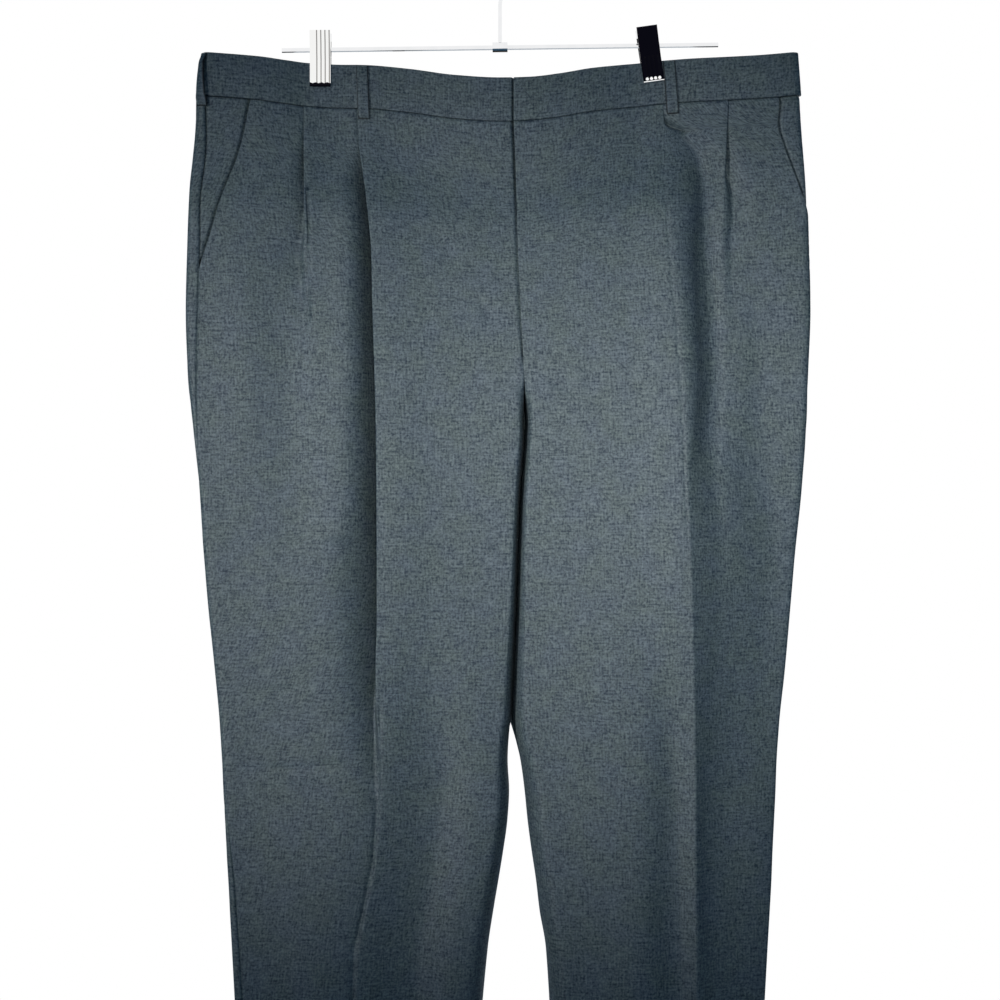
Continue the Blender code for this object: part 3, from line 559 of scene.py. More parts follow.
def seam_inset(drop, dive):
    """The panels stay off the centre seam, and half a wall more where they lie side by side."""
    inset = mix(SEAM_GAP / 2, PANEL_WALL / 2 + SEAM_GAP / 2, smooth(3 * dive))
    return inset * (1 - smooth((drop - CROTCH) / 5))


def inset_edge(points, distance):
    """Move the first point along by a distance, and the next few by less."""
    moved = points.copy()
    moved[:, 0] += distance * (1 - smooth((points[:, 0] - points[0, 0]) / EDGE_BLEND))
    return moved


def with_fly_underlap(points, cut):
    """The right front steps back and runs on under the left one's edge as far as the fly is cut."""
    ease = mix(TOP_EASE, LOW_EASE, smooth((cut.drop - EASE_FROM) / EASE_OVER))
    step = (PANEL_WALL + LAYER_GAP + ease) * (1 - smooth((cut.drop - FLY_END) / STEP_FADE))
    tongue = FLY_UNDERLAP * (1 - smooth((cut.drop - FLY_END + TONGUE_BEFORE) / TONGUE_FADE))
    back = step * (1 - smooth((points[:, 0] - points[0, 0] - STEP_START) / STEP_WIDTH))
    inset = mix(seam_inset(cut.drop, cut.fork_front), 0.0, tongue / FLY_UNDERLAP)
    points = inset_edge(points, inset)
    points[:, 1] -= back
    lapped = Line(np.vstack([points[0] - (tongue, 0.0), points[:LAPPED_POINTS]]))
    lengths = np.linspace(0.0, lapped.length, UNDERLAP_COLUMNS)
    return np.vstack([lapped.at(lengths), points[LAPPED_POINTS:]])


# %% Rows of the four panels and the pocket facings
SEAM_STEPS = np.array([14.0, 10.0, 7.0, 5.0, 3.5, 2.4, 1.6, 1.0, 0.5, 0.2, 0.0])
BACK_STEPS = np.append(SEAM_STEPS[::-1], 22.0)
TO_FLANK, ON_FLANK, TO_EDGE = 11, 8, 12
BACK_CREASE_COLUMN = len(BACK_STEPS) + TO_FLANK + ON_FLANK  # the first one inside the crease
TO_SEAM_COLUMNS, FACING_COLUMNS, FACING_CROWDED = 21, 22, 1.6
UNDER_MOUTH = np.array([9.0, 6.0, 3.0, 1.0])
MOUTH_SHADOW, SHADOW_AT, SHADOW_WIDTH = 3.0, 1.0, 2.0  # the facing sinks beside the mouth


def front_row(cut):
    points, line, mouth, seam = half_section(cut)
    end = mouth if cut.drop < POCKET_END else seam - SEAM_GAP / 2
    plain = np.linspace(0.0, end - SEAM_STEPS[0], TO_SEAM_COLUMNS + 2)[1:-1]
    points = np.vstack([points, line.at(np.concatenate([plain, end - SEAM_STEPS]))])
    if cut.side == "right":
        return with_fly_underlap(points, cut)
    return inset_edge(points, seam_inset(cut.drop, cut.fork_front))


def facing_row(cut):
    """Under the front from the pocket mouth, and in the open to the side seam."""
    _, line, mouth, seam = half_section(cut)
    end = seam - SEAM_GAP / 2
    shares = np.linspace(0.0, 1.0, FACING_COLUMNS) ** FACING_CROWDED
    lengths = np.concatenate([mouth - UNDER_MOUTH, mix(mouth, end, shares)])
    sunk = MOUTH_SHADOW * np.exp(-((lengths - mouth - SHADOW_AT) / SHADOW_WIDTH) ** 2)
    under = PANEL_WALL + LAYER_GAP + sunk
    return np.vstack([line.beside(length, depth) for length, depth in zip(lengths, under)])


def back_row(cut):
    """From the side seam to the centre back seam or the inseam."""
    _, line, _, seam = half_section(cut)
    crest, flank = cut.back_crest, cut.back_flank

    def face(out):
        return -face_depth(cut, out, "back") - crest * smooth(1 - np.abs(out - cut.crease) / flank)

    side = line.at(seam + SEAM_GAP / 2 + BACK_STEPS)
    edge = inner_edge(cut, mix(face(cut.inner), SEAT_FOLD, cut.fork_back), face, cut.fork_lap)
    outs = np.concatenate([
        np.linspace(side[-1, 0], cut.crease + flank, TO_FLANK + 1)[1:],
        np.linspace(cut.crease + flank, cut.crease, ON_FLANK + 1)[1:],
        np.linspace(cut.crease, cut.crease - flank, ON_FLANK + 1)[1:],
        np.linspace(cut.crease - flank, edge[-1, 0], TO_EDGE + 2)[1:-1],
    ])
    edge = inset_edge(edge, seam_inset(cut.drop, cut.fork_back))
    edge[0, 1] -= 2 * SEAM_GAP * cut.fork_back
    return np.vstack([side, np.column_stack([outs, face(outs)]), edge[::-1]])


for row_of in (front_row, facing_row, back_row):
    print(row_of.__name__, *(len(row_of(sizes_at(side, BAND_HEIGHT))) for side in SIDES), "columns")


# %% [markdown]
# ## Creases from wear and hanging
# Pressed cloth that has hung for a while is never quite smooth. It keeps short dents where it was
# folded over a bar or carried, and slack folds where it turns into the crotch. They are listed one
# by one: each row is one soft trough, or a ridge where its height is positive, along a bowed
# stroke.

# %% Creases on the front and on the back
FRONT_CREASES = Table(
    "x drop to_x to_drop bow width height",
    (-192, 110, -188, 480, 3, 26.0, -4.5),
    (-246, 150, -236, 420, -3, 24.0, 2.0),
    (103, 57, 74, 116, 3, 3.2, -3.2),
    (109, 62, 82, 118, 3, 4.0, 1.1),
    (49, 34, 52, 66, 1, 2.6, -0.7),
    (-20, 226, -10, 254, -2, 4.0, -1.8),
    (42, 306, 69, 324, -2, 3.4, -2.6),
    (92, 268, 88, 336, 5, 7.0, -1.8),
    (20, 312, 44, 300, 2, 4.5, -0.8),
    (-62, 150, -40, 196, 3, 8.0, -0.9),
    (62, 186, 44, 262, -4, 9.0, -1.0),
    (-138, 365, -132, 383, 0, 2.4, -2.0),
    (-246, 673, -132, 664, 2, 2.6, -2.4),
    (-240, 678, -150, 670, 2, 3.6, 1.2),
    (-212, 595, -183, 597, 0, 2.4, -1.8),
    (-253, 636, -242, 636, 0, 2.2, -1.6),
    (85, 689, 150, 672, -3.5, 2.6, -2.4),
    (90, 694, 146, 678, -3.5, 3.6, 1.1),
    (131, 598, 136, 601, 1.5, 2.2, -1.8),
    (105, 741, 150, 762, 5, 4.0, -1.6),
    (98, 752, 130, 772, 4, 4.0, -1.0),
    (-110.5, 600, -113, 705, 0, 2.0, -1.6),
    (-113, 690, -119, 770, 0, 2.0, -1.8),
    (-119, 756, -136, 840, -1, 2.2, -2.2),
    (-136, 826, -141, 1112, 0, 2.2, -2.2),
    (-90, 700, -40, 690, 3, 9.0, -0.8),
    (-196, 832, -120, 826, 2, 3.0, -0.8),
    (70, 905, 140, 893, 3, 3.0, -0.9),
    (-228, 980, -150, 972, 2, 4.0, -0.9),
    (110, 1010, 190, 1002, -3, 4.0, -0.8),
)
BACK_CREASES = Table(
    "x drop to_x to_drop bow width height",
    (-96, 62, -60, 122, 4, 5.0, -1.4),
    (104, 60, 76, 116, -4, 5.0, -1.3),
    (-12, 250, -58, 296, -5, 7.0, -1.9),
    (38, 256, 84, 304, 5, 7.0, -1.9),
    (-40, 318, -92, 338, -4, 6.0, -1.6),
    (62, 322, 112, 344, 4, 6.0, -1.6),
    (-86, 372, -150, 384, -3, 6.0, -1.0),
    (104, 380, 166, 388, 3, 6.0, -1.0),
    (-236, 668, -120, 660, 2, 2.6, -1.4),
    (96, 676, 214, 668, -3, 2.8, -1.4),
    (-160, 602, -128, 598, 1, 2.4, -1.0),
    (150, 748, 196, 757, 3, 4.0, -0.8),
    (-190, 842, -110, 834, 2, 3.4, -0.9),
    (86, 930, 160, 922, 3, 4.0, -0.8),
)
print("creases:", len(FRONT_CREASES.rows), "on the front,", len(BACK_CREASES.rows), "on the back")


# %% How creases, an iron and slack move the cloth
LARGE_SWELL, LARGE_ACROSS, LARGE_DOWN = 0.9, 55, 150  # the cloth is never quite level
SMALL_SWELL, SMALL_ACROSS, SMALL_DOWN = 0.25, 16, 34
PRESSED_FROM, PRESSED_TO = (100, 30), (425, 60)  # where the groove begins and ends, and how softly
PRESSED_DEPTH, PRESSED_INSIDE, PRESSED_WIDTH = 0.6, 1.5, 1.3
PAST_END, END_FADE = 0.12, 0.4  # a crease fades at its ends, as shares of its length


def crease_relief(table, x, drop):
    """How far the creases of a table raise or sink the cloth at these places."""
    relief = np.zeros_like(x)
    for x0, d0, x1, d1, bow, width, height in table.rows:
        along = np.array([x1 - x0, d1 - d0])
        reach = np.hypot(*along)
        along /= reach
        t = ((x - x0) * along[0] + (drop - d0) * along[1]) / reach
        away = (x - x0) * -along[1] + (drop - d0) * along[0] - bow * 4 * t * (1 - t)
        ends = smooth((t + PAST_END) / END_FADE) * smooth((1 + PAST_END - t) / END_FADE)
        relief += height * ends * np.exp(-(away / width) ** 2)
    return relief


def pressed_line(drops, along):
    """The groove that an iron's edge leaves just inside the crease, where the fold stands open."""
    (begin, fade_in), (end, fade_out) = PRESSED_FROM, PRESSED_TO
    depth = smooth((drops - begin) / fade_in) * (1 - smooth((drops - end) / fade_out))
    across = np.exp(-((along + PRESSED_INSIDE) / PRESSED_WIDTH) ** 2)
    return -PRESSED_DEPTH * depth[:, None] * across


def swell(x, drop, seed):
    """A slow unevenness, longer down the leg than across it."""
    rise = []
    for a, b in zip(x.ravel(), drop.ravel()):
        large = LARGE_SWELL * noise.noise((a / LARGE_ACROSS, b / LARGE_DOWN, seed))
        small = SMALL_SWELL * noise.noise((a / SMALL_ACROSS, b / SMALL_DOWN, seed + 9))
        rise.append(large + small)
    return np.array(rise).reshape(x.shape)


# %% [markdown]
# ## From rows to cloth
# The rows of a panel make a grid. Its creases and its rolled edges move each point along the
# normal there, and Solidify gives it the thickness of the cloth. The grid also gets a map in real
# metres, with the crease at zero, because a weaver's warp runs along the crease of a trouser leg
# and the pattern has to turn with the cloth round every fold.

# %% Placing rows in the world
SAG_FROM, SAG_OVER = 60, 260  # from there on the legs hang ever less as the waistband sags


def placed(side, drop, row):
    """Rows near the waist sag as the waistband does."""
    follow = 1 - smooth((drop - SAG_FROM) / SAG_OVER)
    x = SIDES[side] * row[:, 0]
    return np.column_stack([x, -row[:, 1], WAIST_TOP - drop - WAIST.at("sag", x) * follow])


def outward(points, side):
    """Unit normals of a grid of points, out of the garment."""
    across = np.gradient(points, axis=1)
    down = np.gradient(points, axis=0)
    normal = -SIDES[side] * np.cross(across, down)
    return normal / np.maximum(np.linalg.norm(normal, axis=2), 1e-9)[:, :, None]


def lengths_across(points):
    steps = np.linalg.norm(np.diff(points, axis=1), axis=2)
    return np.concatenate([np.zeros((len(points), 1)), np.cumsum(steps, axis=1)], axis=1)


SEAM_ROLL, WAIST_ROLL, EDGE_ROLL = 1.3, 0.8, 0.4  # how far a sewn or turned edge bends in
ROLL_REACH = 2.2


def rolled(points, side, drops, first, last, top, hem):
    """Pull a panel's edges in, each by its own amount."""
    reach = lengths_across(points)
    pull = np.zeros(reach.shape)
    for amount, away in ((first, reach), (last, reach[:, -1:] - reach),
                         (top, drops[:, None] - drops[0]), (hem, drops[-1] - drops[:, None])):
        bend = (1 - smooth(away / ROLL_REACH)) ** 2
        pull = np.maximum(pull, np.reshape(amount, (-1, 1)) * bend)
    return points - outward(points, side) * pull[:, :, None]


# %% A grid of cloth as a mesh
BEVEL_STEPS, BEVEL_ANGLE = 3, math.radians(50)


def grain_map(across, drops):
    """Each point's place in the flat cloth: across it, and up along its warp."""
    return np.stack([across, np.repeat(-drops[:, None], across.shape[1], 1)], axis=2)


def cloth(name, points, grain, wall, finish, bevel=0.0):
    """A sheet through a grid of points in mm, with its grain map, thickened to a closed shell."""
    rows, columns = points.shape[:2]
    number = np.arange(rows * columns).reshape(rows, columns)
    corners = (number[:-1, :-1], number[:-1, 1:], number[1:, 1:], number[1:, :-1])
    quads = np.stack(corners, axis=-1).reshape(-1, 4)
    mesh = bpy.data.meshes.new(name)
    mesh.from_pydata((points.reshape(-1, 3) * MM).tolist(), [], quads.tolist())
    layer = mesh.uv_layers.new(name="grain")
    laid = (grain.reshape(-1, 2) * MM)[quads.ravel()]
    layer.uv.foreach_set("vector", laid.astype(np.float32).ravel())
    mesh.shade_smooth()
    mesh.materials.append(finish)
    made = bpy.data.objects.new(name, mesh)
    bpy.context.scene.collection.objects.link(made)
    bpy.ops.object.select_all(action="DESELECT")
    bpy.context.view_layer.objects.active = made
    made.select_set(True)
    thick = made.modifiers.new("Thickness", "SOLIDIFY")
    thick.thickness = wall * MM
    thick.offset = 0.0
    bpy.ops.object.modifier_apply(modifier=thick.name)
    if bevel:
        soft = made.modifiers.new("Soft edge", "BEVEL")
        soft.width = bevel * MM
        soft.segments = BEVEL_STEPS
        soft.limit_method = "ANGLE"
        soft.angle_limit = BEVEL_ANGLE
        bpy.ops.object.modifier_apply(modifier=soft.name)
    made.select_set(False)
    return made


# %% [markdown]
# ## Worsted wool
# Up close, this cloth is a fine plain weave of mixed yarns: blue-grey and olive-grey fibres are
# blended before spinning, so every thread changes shade along its length. From a step away that
# reads as short light and dark dashes that cross each other, over soft patches of colour.
# Stretched noises give the dashes of warp and weft and some longer slubs, and a round one the
# flecks. They live in a node group, so the loops and the panels are woven from the same yarn.

# %% Node helpers
def node(tree, kind, values=None, **settings):
    made = tree.nodes.new(kind)
    for name, value in settings.items():
        setattr(made, name, value)
    for socket, value in (values or {}).items():
        if isinstance(value, bpy.types.NodeSocket):
            tree.links.new(value, made.inputs[socket])
        else:
            made.inputs[socket].default_value = value
    return made


def maths(tree, operation, a, b=0.0):
    return node(tree, "ShaderNodeMath", {0: a, 1: b}, operation=operation).outputs[0]


def stretched_noise(tree, place, across, along, seed, detail=1.5):
    """Noise on a place in metres, with cells of this many mm across and along the grain."""
    scale, shift = (1000 / across, 1000 / along, 0.0), (seed, seed * 0.7, seed)
    scaled = node(tree, "ShaderNodeVectorMath", {0: place, 1: scale}, operation="MULTIPLY")
    moved = node(tree, "ShaderNodeVectorMath", {0: scaled.outputs[0], 1: shift}, operation="ADD")
    return node(tree, "ShaderNodeTexNoise", {"Vector": moved.outputs[0], "Scale": 1.0,
                                             "Detail": detail, "Roughness": 0.6}).outputs[0]


def remap(tree, value, low, high, to_low=0.0, to_high=1.0):
    values = {0: value, 1: low, 2: high, 3: to_low, 4: to_high}
    return node(tree, "ShaderNodeMapRange", values, clamp=True).outputs[0]


def blend_colour(tree, share, a, b, way="MIX"):
    values = {0: share, 6: a, 7: b}
    return node(tree, "ShaderNodeMix", values, data_type="RGBA", blend_type=way).outputs[2]


# %% The weave as a node group
TWO_THREADS = 0.0009  # in metres
FLECK_SHARE, SLUB_SHARE, RIB_SHARE = 1.6, 0.4, 0.10
DASH_RANGE, PATCH_RANGE = (1.52, 2.48), (0.36, 0.64)


def make_weave():
    group = bpy.data.node_groups.new("Worsted weave", "ShaderNodeTree")
    group.interface.new_socket("Grain", in_out="INPUT", socket_type="NodeSocketVector")
    for name in ("Dashes", "Patches", "Height"):
        group.interface.new_socket(name, in_out="OUTPUT", socket_type="NodeSocketFloat")
    place = group.nodes.new("NodeGroupInput").outputs[0]
    # each has cells of so many mm across and along the grain, and a seed
    warp = stretched_noise(group, place, 1.6, 13.0, 3.0)
    weft = stretched_noise(group, place, 12.0, 1.9, 11.0)
    slub = stretched_noise(group, place, 34.0, 1.8, 29.0)
    fleck = stretched_noise(group, place, 2.2, 2.3, 41.0, 1.0)
    yarn = maths(group, "ADD", warp, weft)
    for strand, share in ((fleck, FLECK_SHARE), (slub, SLUB_SHARE)):
        yarn = maths(group, "ADD", yarn, maths(group, "MULTIPLY", strand, share))
    dashes = remap(group, yarn, *DASH_RANGE)
    patches = remap(group, stretched_noise(group, place, 30.0, 34.0, 57.0, 3.0), *PATCH_RANGE)
    split = node(group, "ShaderNodeSeparateXYZ", {0: place})
    turns = [maths(group, "MULTIPLY", split.outputs[i], 2 * math.pi / TWO_THREADS) for i in (0, 1)]
    ribs = maths(group, "MULTIPLY", *(maths(group, "SINE", turn) for turn in turns))
    height = maths(group, "ADD", dashes, maths(group, "MULTIPLY", ribs, RIB_SHARE))
    out = group.nodes.new("NodeGroupOutput")
    for socket, value in zip(out.inputs, (dashes, patches, height)):
        group.links.new(value, socket)
    return group


weave = make_weave()
print("weave group:", len(weave.nodes), "nodes")


# %% The wool, in its two shades of yarn
YARN_DARK, YARN_LIGHT = (0.013, 0.027, 0.043, 1.0), (0.148, 0.184, 0.190, 1.0)
TINT_OLIVE, TINT_BLUE = (1.0, 1.025, 0.94, 1.0), (0.97, 0.99, 1.05, 1.0)
ROUGH_DARK, ROUGH_LIGHT = 0.68, 0.54
STRAP_START = 40.0  # a strap's grain map begins this far across
# A strap's edges and its end get painted shade, full within the first width and gone at the second.
PAINTED_SHADE_FULL, PAINTED_SHADE_END, PAINTED_SHADE_DEPTH = 0.6, 1.5, 0.10  # how wide and how dark a strap's edge is


def make_wool(name, strap=None):
    """The cloth. On a strap of this width and length, painted shade darkens its turned edges and
    its end.
    """
    made = bpy.data.materials.new(name)
    made.use_nodes = True
    tree = made.node_tree
    shader = tree.nodes["Principled BSDF"]
    grain = node(tree, "ShaderNodeUVMap", uv_map="grain").outputs[0]
    woven = node(tree, "ShaderNodeGroup", {0: grain}, node_tree=weave)
    yarn = blend_colour(tree, woven.outputs["Dashes"], YARN_DARK, YARN_LIGHT)
    tint = blend_colour(tree, woven.outputs["Patches"], TINT_OLIVE, TINT_BLUE)
    colour = blend_colour(tree, 1.0, yarn, tint, "MULTIPLY")
    if strap:
        width, length = strap
        split = node(tree, "ShaderNodeSeparateXYZ", {0: grain})
        left = maths(tree, "SUBTRACT", split.outputs[0], STRAP_START * MM)
        right = maths(tree, "SUBTRACT", (STRAP_START + width) * MM, split.outputs[0])
        end = maths(tree, "ADD", split.outputs[1], length * MM)
        near = maths(tree, "MINIMUM", maths(tree, "MINIMUM", left, right), end)
        # painted shade: the colour darkens towards the strap's long edges and its lower end
        painted_shade = remap(tree, near, PAINTED_SHADE_FULL * MM, PAINTED_SHADE_END * MM, PAINTED_SHADE_DEPTH, 1.0)
        colour = blend_colour(tree, 1.0, colour, painted_shade, "MULTIPLY")
    tree.links.new(colour, shader.inputs["Base Color"])
    rough = remap(tree, woven.outputs["Dashes"], 0.0, 1.0, ROUGH_DARK, ROUGH_LIGHT)
    tree.links.new(rough, shader.inputs["Roughness"])
    bump = node(tree, "ShaderNodeBump", {"Strength": 0.5, "Distance": 0.0003,
                                         "Height": woven.outputs["Height"]})
    tree.links.new(bump.outputs[0], shader.inputs["Normal"])
    shader.inputs["Specular IOR Level"].default_value = 0.5
    return made


wool = make_wool("Grey worsted wool")
strap_wool_painted_shade = make_wool("Grey worsted wool, straps with painted edge shade",
                       strap=(LOOP_WIDTH + 0.3, BAND_HEIGHT + LOOP_TAIL))
print("wools:", wool.name, "and", strap_wool_painted_shade.name)

# %% [markdown]
# ## Fronts, backs and pocket facings
# Each panel is laid from its rows, a row every few millimetres, closer where it is sewn.

# %% Lay a panel
LEVEL_STEP = 4.6
END_ROOM = 3.0
HELD = (sum(MAIN_STEPS), 140.0), (sum(SMALL_STEPS), 110.0)  # a fold's columns and its full drop
SWELL_FROM, SWELL_OVER, FLAT_EDGE = 45, 60, 12.0  # below the waist seam, and inside the edges


def drops_to(end, top):
    """Even steps down the leg, and closer ones at the waist and at the hem."""
    rows = int((end - BAND_HEIGHT) / LEVEL_STEP)
    inside = np.linspace(BAND_HEIGHT + END_ROOM, end - END_ROOM, rows)
    first, last = np.array([top, 0.5, 1.1, 1.9]), np.array([1.9, 1.1, 0.5, 0.0])
    return np.concatenate([BAND_HEIGHT + first, inside, end - last])


def held_grain(reach, drops, zero):
    """Near the waist the folds take up less cloth, and the grain goes on upright all the same."""
    first = zero
    for count, deepest in HELD:
        taken = reach[:, first + count] - reach[:, first]
        missing = np.where(drops < deepest, np.interp(deepest, drops, taken) - taken, 0.0)
        share = np.clip((np.arange(reach.shape[1]) - first) / count, 0.0, 1.0)
        reach = reach + missing[:, None] * share
        first += count + BETWEEN_COLUMNS
    return reach


def panel(name, side, row_of, end, top, zero, creases, seed, rolls):
    """One cut piece: its rows, its creases, its rolled edges and its grain map."""
    drops = drops_to(end, top)
    points = np.array([placed(side, drop, row_of(sizes_at(side, drop))) for drop in drops])
    reach = lengths_across(points)
    lain = held_grain(reach, drops, zero) if row_of is front_row else reach
    grain = grain_map(SIDES[side] * (lain - lain[:, zero:zero + 1]), drops)
    if creases is not None:
        normal = outward(points, side)
        x, drop = points[:, :, 0], np.repeat(drops[:, None], points.shape[1], 1)
        risen = swell(x, drop, seed) * smooth((drop - SWELL_FROM) / SWELL_OVER)
        relief = crease_relief(creases, x, drop) + risen
        if name == "cloth_front_left":
            relief += pressed_line(drops, reach - reach[:, zero:zero + 1])
        facing = np.clip(np.abs(normal[:, :, 1]) * 1.6 - 0.5, 0.0, 1.0)  # none where it is edge-on
        near = np.minimum(reach, reach[:, -1:] - reach)
        relief *= facing * smooth(near / FLAT_EDGE)
        points = points + normal * relief[:, :, None]
    rolls = (roll(drops) if callable(roll) else roll for roll in rolls)
    points = rolled(points, side, drops, *rolls)
    return cloth(name, points, grain, PANEL_WALL, wool), points


# %% The panels
FRONT_TOP, BACK_TOP = -0.1, -0.45  # under the band, so that no light passes the waist seam
FACING_END, MOUTH_FADE = 196.0, 8
LAP_SHIFT = {"right": UNDERLAP_COLUMNS - LAPPED_POINTS, "left": 0}


def side_roll(drops):
    """Down to its end the pocket's mouth lies open, and below that the side is sewn."""
    return SEAM_ROLL * smooth((drops - POCKET_END + MOUTH_FADE) / MOUTH_FADE)


panels = []
for side in SIDES:
    for name, *cut in (
        ("front", front_row, HEM, FRONT_TOP, CREASE_COLUMN + LAP_SHIFT[side], FRONT_CREASES, 1.0,
         (EDGE_ROLL, side_roll, WAIST_ROLL, EDGE_ROLL)),
        ("back", back_row, HEM, BACK_TOP, BACK_CREASE_COLUMN, BACK_CREASES, 5.0,
         (SEAM_ROLL, SEAM_ROLL, WAIST_ROLL, EDGE_ROLL)),
        ("pocket_facing", facing_row, FACING_END, FRONT_TOP, len(UNDER_MOUTH) - 1, None, 0.0,
         (0.0, SEAM_ROLL, WAIST_ROLL, 0.0)),
    ):
        made, points = panel(f"cloth_{name}_{side}", side, *cut)
        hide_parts(f"{name}_{side}")
        panels.append((made, points))
        across = lengths_across(points)[:, -1]
        print(made.name, "widest", round(across.max()), "narrowest", round(across.min()), "mm,",
              len(made.data.polygons), "faces")

# %% [markdown]
# ## Waistband and belt loops
# The waistband is stiffer than the legs, with canvas inside, so it stays smooth and has a firm
# rounded edge. The belt loops are narrow straps, pressed so that their long edges turn under.
# Their long edges and their lower ends also get painted shade in their colour.

# %% The waistband
BAND_EASE = {"right": 2.2, "left": 1.0}  # leaves room on the outline for the side loops
BAND_FLAT = {"right": 252.0, "left": 254.0}  # so far out its front and back are laid level
BAND_FIRST = {"right": 2.6, "left": SEAM_GAP / 2}  # from the centre front to its first column
BAND_ROWS, BAND_COLUMNS, FOLD_COLUMNS = 22, 70, 19
BAND_SEAM = 0.6  # it ends this far above the legs
LEAD_OUT = np.array([-FLY_UNDERLAP, -9.0, -4.0, -0.6, 0.4])
LEAD_BACK = BAND_WALL + LAYER_GAP + np.array([0.0, 0.0, 0.4, 1.7, 1.8])


def band_place(side, out, wall):
    out = np.atleast_1d(out).astype(float)
    return np.column_stack([out, band_depth(side, out, wall) * (1 if wall == "front" else -1)])


def band_fold(side, level, angles):
    """Where the band folds at the side: 90 degrees is where the front ends, -90 the back."""
    angles = np.radians(np.atleast_1d(angles).astype(float))
    begin = float(OUTLINE[side].at("outer", level)) - BAND_TURN - BAND_EASE[side]
    front, back = (float(band_depth(side, begin, wall)) for wall in ("front", "back"))
    depth = np.where(angles > 0, front, back) * np.sin(angles)
    return np.column_stack([begin + BAND_TURN * np.cos(angles), depth])


def placed_band(side, level, row):
    x = SIDES[side] * row[:, 0]
    return np.column_stack([x, -row[:, 1], WAIST_TOP - level - WAIST.at("sag", x)])


def waistband(side):
    start, end = SIDES[side] * CENTRE_AT_WAIST, BAND_FLAT[side]
    levels = np.linspace(0.0, BAND_HEIGHT - BAND_SEAM, BAND_ROWS)
    back = band_place(side, np.linspace(end, start + SEAM_GAP / 2, BAND_COLUMNS), "back")
    front = band_place(side, np.linspace(start + BAND_FIRST[side], end, BAND_COLUMNS), "front")
    if side == "right":  # its end steps back and runs on under the left one
        lead = band_place(side, start + LEAD_OUT, "front")
        lead[:, 1] -= LEAD_BACK
        front = np.vstack([lead, front])
    rows = []
    for level in levels:
        fold = band_fold(side, level, np.linspace(90, -90, FOLD_COLUMNS))
        rows.append(placed_band(side, level, np.vstack([front, fold, back])))
    points = np.array(rows)
    grain = grain_map(SIDES[side] * lengths_across(points), levels)
    made = cloth(f"cloth_waistband_{side}", points, grain, BAND_WALL, wool, bevel=0.8)
    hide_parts(f"waistband_{side}")
    return made, points


bands = [waistband(side) for side in SIDES]
print("waistband:", *(f"{lengths_across(points)[0, -1]:.0f} mm" for made, points in bands))


# %% Where a belt loop lies on the band
LINE_HALF, LINE_POINTS = 10, 9
SIDE_STEPS = np.array([36.0, 24.0, 12.0, 6.0])
SIDE_ANGLES, FRONT_ANGLES = range(90, -91, -10), 10  # so many of them lie in front


def wall_place(side, wall, top, bottom):
    """A strap on the front or the back, with its middle at one x on top and another below."""
    def place(level):
        middle = SIDES[side] * mix(top, bottom, level / (BAND_HEIGHT + LOOP_TAIL))
        outs = np.linspace(middle - LINE_HALF, middle + LINE_HALF, LINE_POINTS)
        line = Line(band_place(side, outs if wall == "front" else outs[::-1], wall))
        return line, line.length / 2
    return place


def side_place(side, ahead_top, ahead_bottom):
    """A strap at the side, with its middle so far ahead of the band's fold on top and below."""
    def place(level):
        ahead = mix(ahead_top, ahead_bottom, level / BAND_HEIGHT)
        turn = band_fold(side, level, SIDE_ANGLES)
        front = band_place(side, turn[0, 0] - SIDE_STEPS, "front")
        back = band_place(side, turn[0, 0] - SIDE_STEPS[::-1], "back")
        line = Line(np.vstack([front, turn, back]))
        return line, Line(np.vstack([front, turn[:FRONT_ANGLES]])).length - ahead
    return place


# %% The belt loops
LOOP_TOP, LOOP_ROWS, LOOP_COLUMNS, WIDTH_TRIES = 0.8, 34, 11, 3
LOOP_BELOW, LOOP_CROWN, LOOP_SINK = 0.6, 0.35, 0.2  # off the legs, at its middle, all over
EASE_END, STAND_END, BELOW_FROM = 46, 44, 38  # drops where it comes to rest and where it rises


def between_tacks(amount, level, end):
    """This much between a strap's tacked ends, and nothing at them."""
    return amount * smooth((level - 2) / 8) * smooth((end - level) / 6)


def belt_loop(name, side, place, stand=0.0):
    """A strap of one width, tacked at both ends. Its edge towards the front may stand off."""
    rest = BAND_WALL / 2 + LAYER_GAP + LOOP_WALL / 2
    levels = np.linspace(LOOP_TOP, BAND_HEIGHT + LOOP_TAIL, LOOP_ROWS)
    shares = np.linspace(-0.5, 0.5, LOOP_COLUMNS)
    crown = LOOP_CROWN * (1 - (2 * shares) ** 4)
    rows = []
    for level in levels:
        line, middle = place(level)
        ease = between_tacks(LOOP_EASE, level, EASE_END)
        below = LOOP_BELOW * smooth((level - BELOW_FROM) / 6)
        lift = between_tacks(stand, level, STAND_END) * (0.5 - shares)
        away = rest + ease + below + crown - LOOP_SINK + lift
        width = LOOP_WIDTH
        for _ in range(WIDTH_TRIES):
            row = np.vstack([line.beside(middle + width * share, -out)
                             for share, out in zip(shares, away)])
            width *= LOOP_WIDTH / Line(row).length
        rows.append(placed_band(side, level, row))
    points = np.array(rows)
    grain = grain_map(lengths_across(points) + STRAP_START, levels)
    made = cloth(f"cloth_{name}", points, grain, LOOP_WALL, strap_wool_painted_shade, bevel=0.35)
    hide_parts(name)
    return made, points


loops = [belt_loop(*row) for row in (
    ("belt_loop_front_right", "right", wall_place("right", "front", -128.8, -127.0)),
    ("belt_loop_front_left", "left", wall_place("left", "front", 158.4, 162.4)),
    ("belt_loop_side_right", "right", side_place("right", 3.0, 7.5), 2.6),
    ("belt_loop_side_left", "left", side_place("left", -18.0, -18.0)),
    ("belt_loop_back_right", "right", wall_place("right", "back", -96.0, -96.0)),
    ("belt_loop_back_left", "left", wall_place("left", "back", 108.0, 108.0)),
    ("belt_loop_centre_back", "left", wall_place("left", "back", 12.5, 12.5)),
)]
print("belt loops:", len(loops))
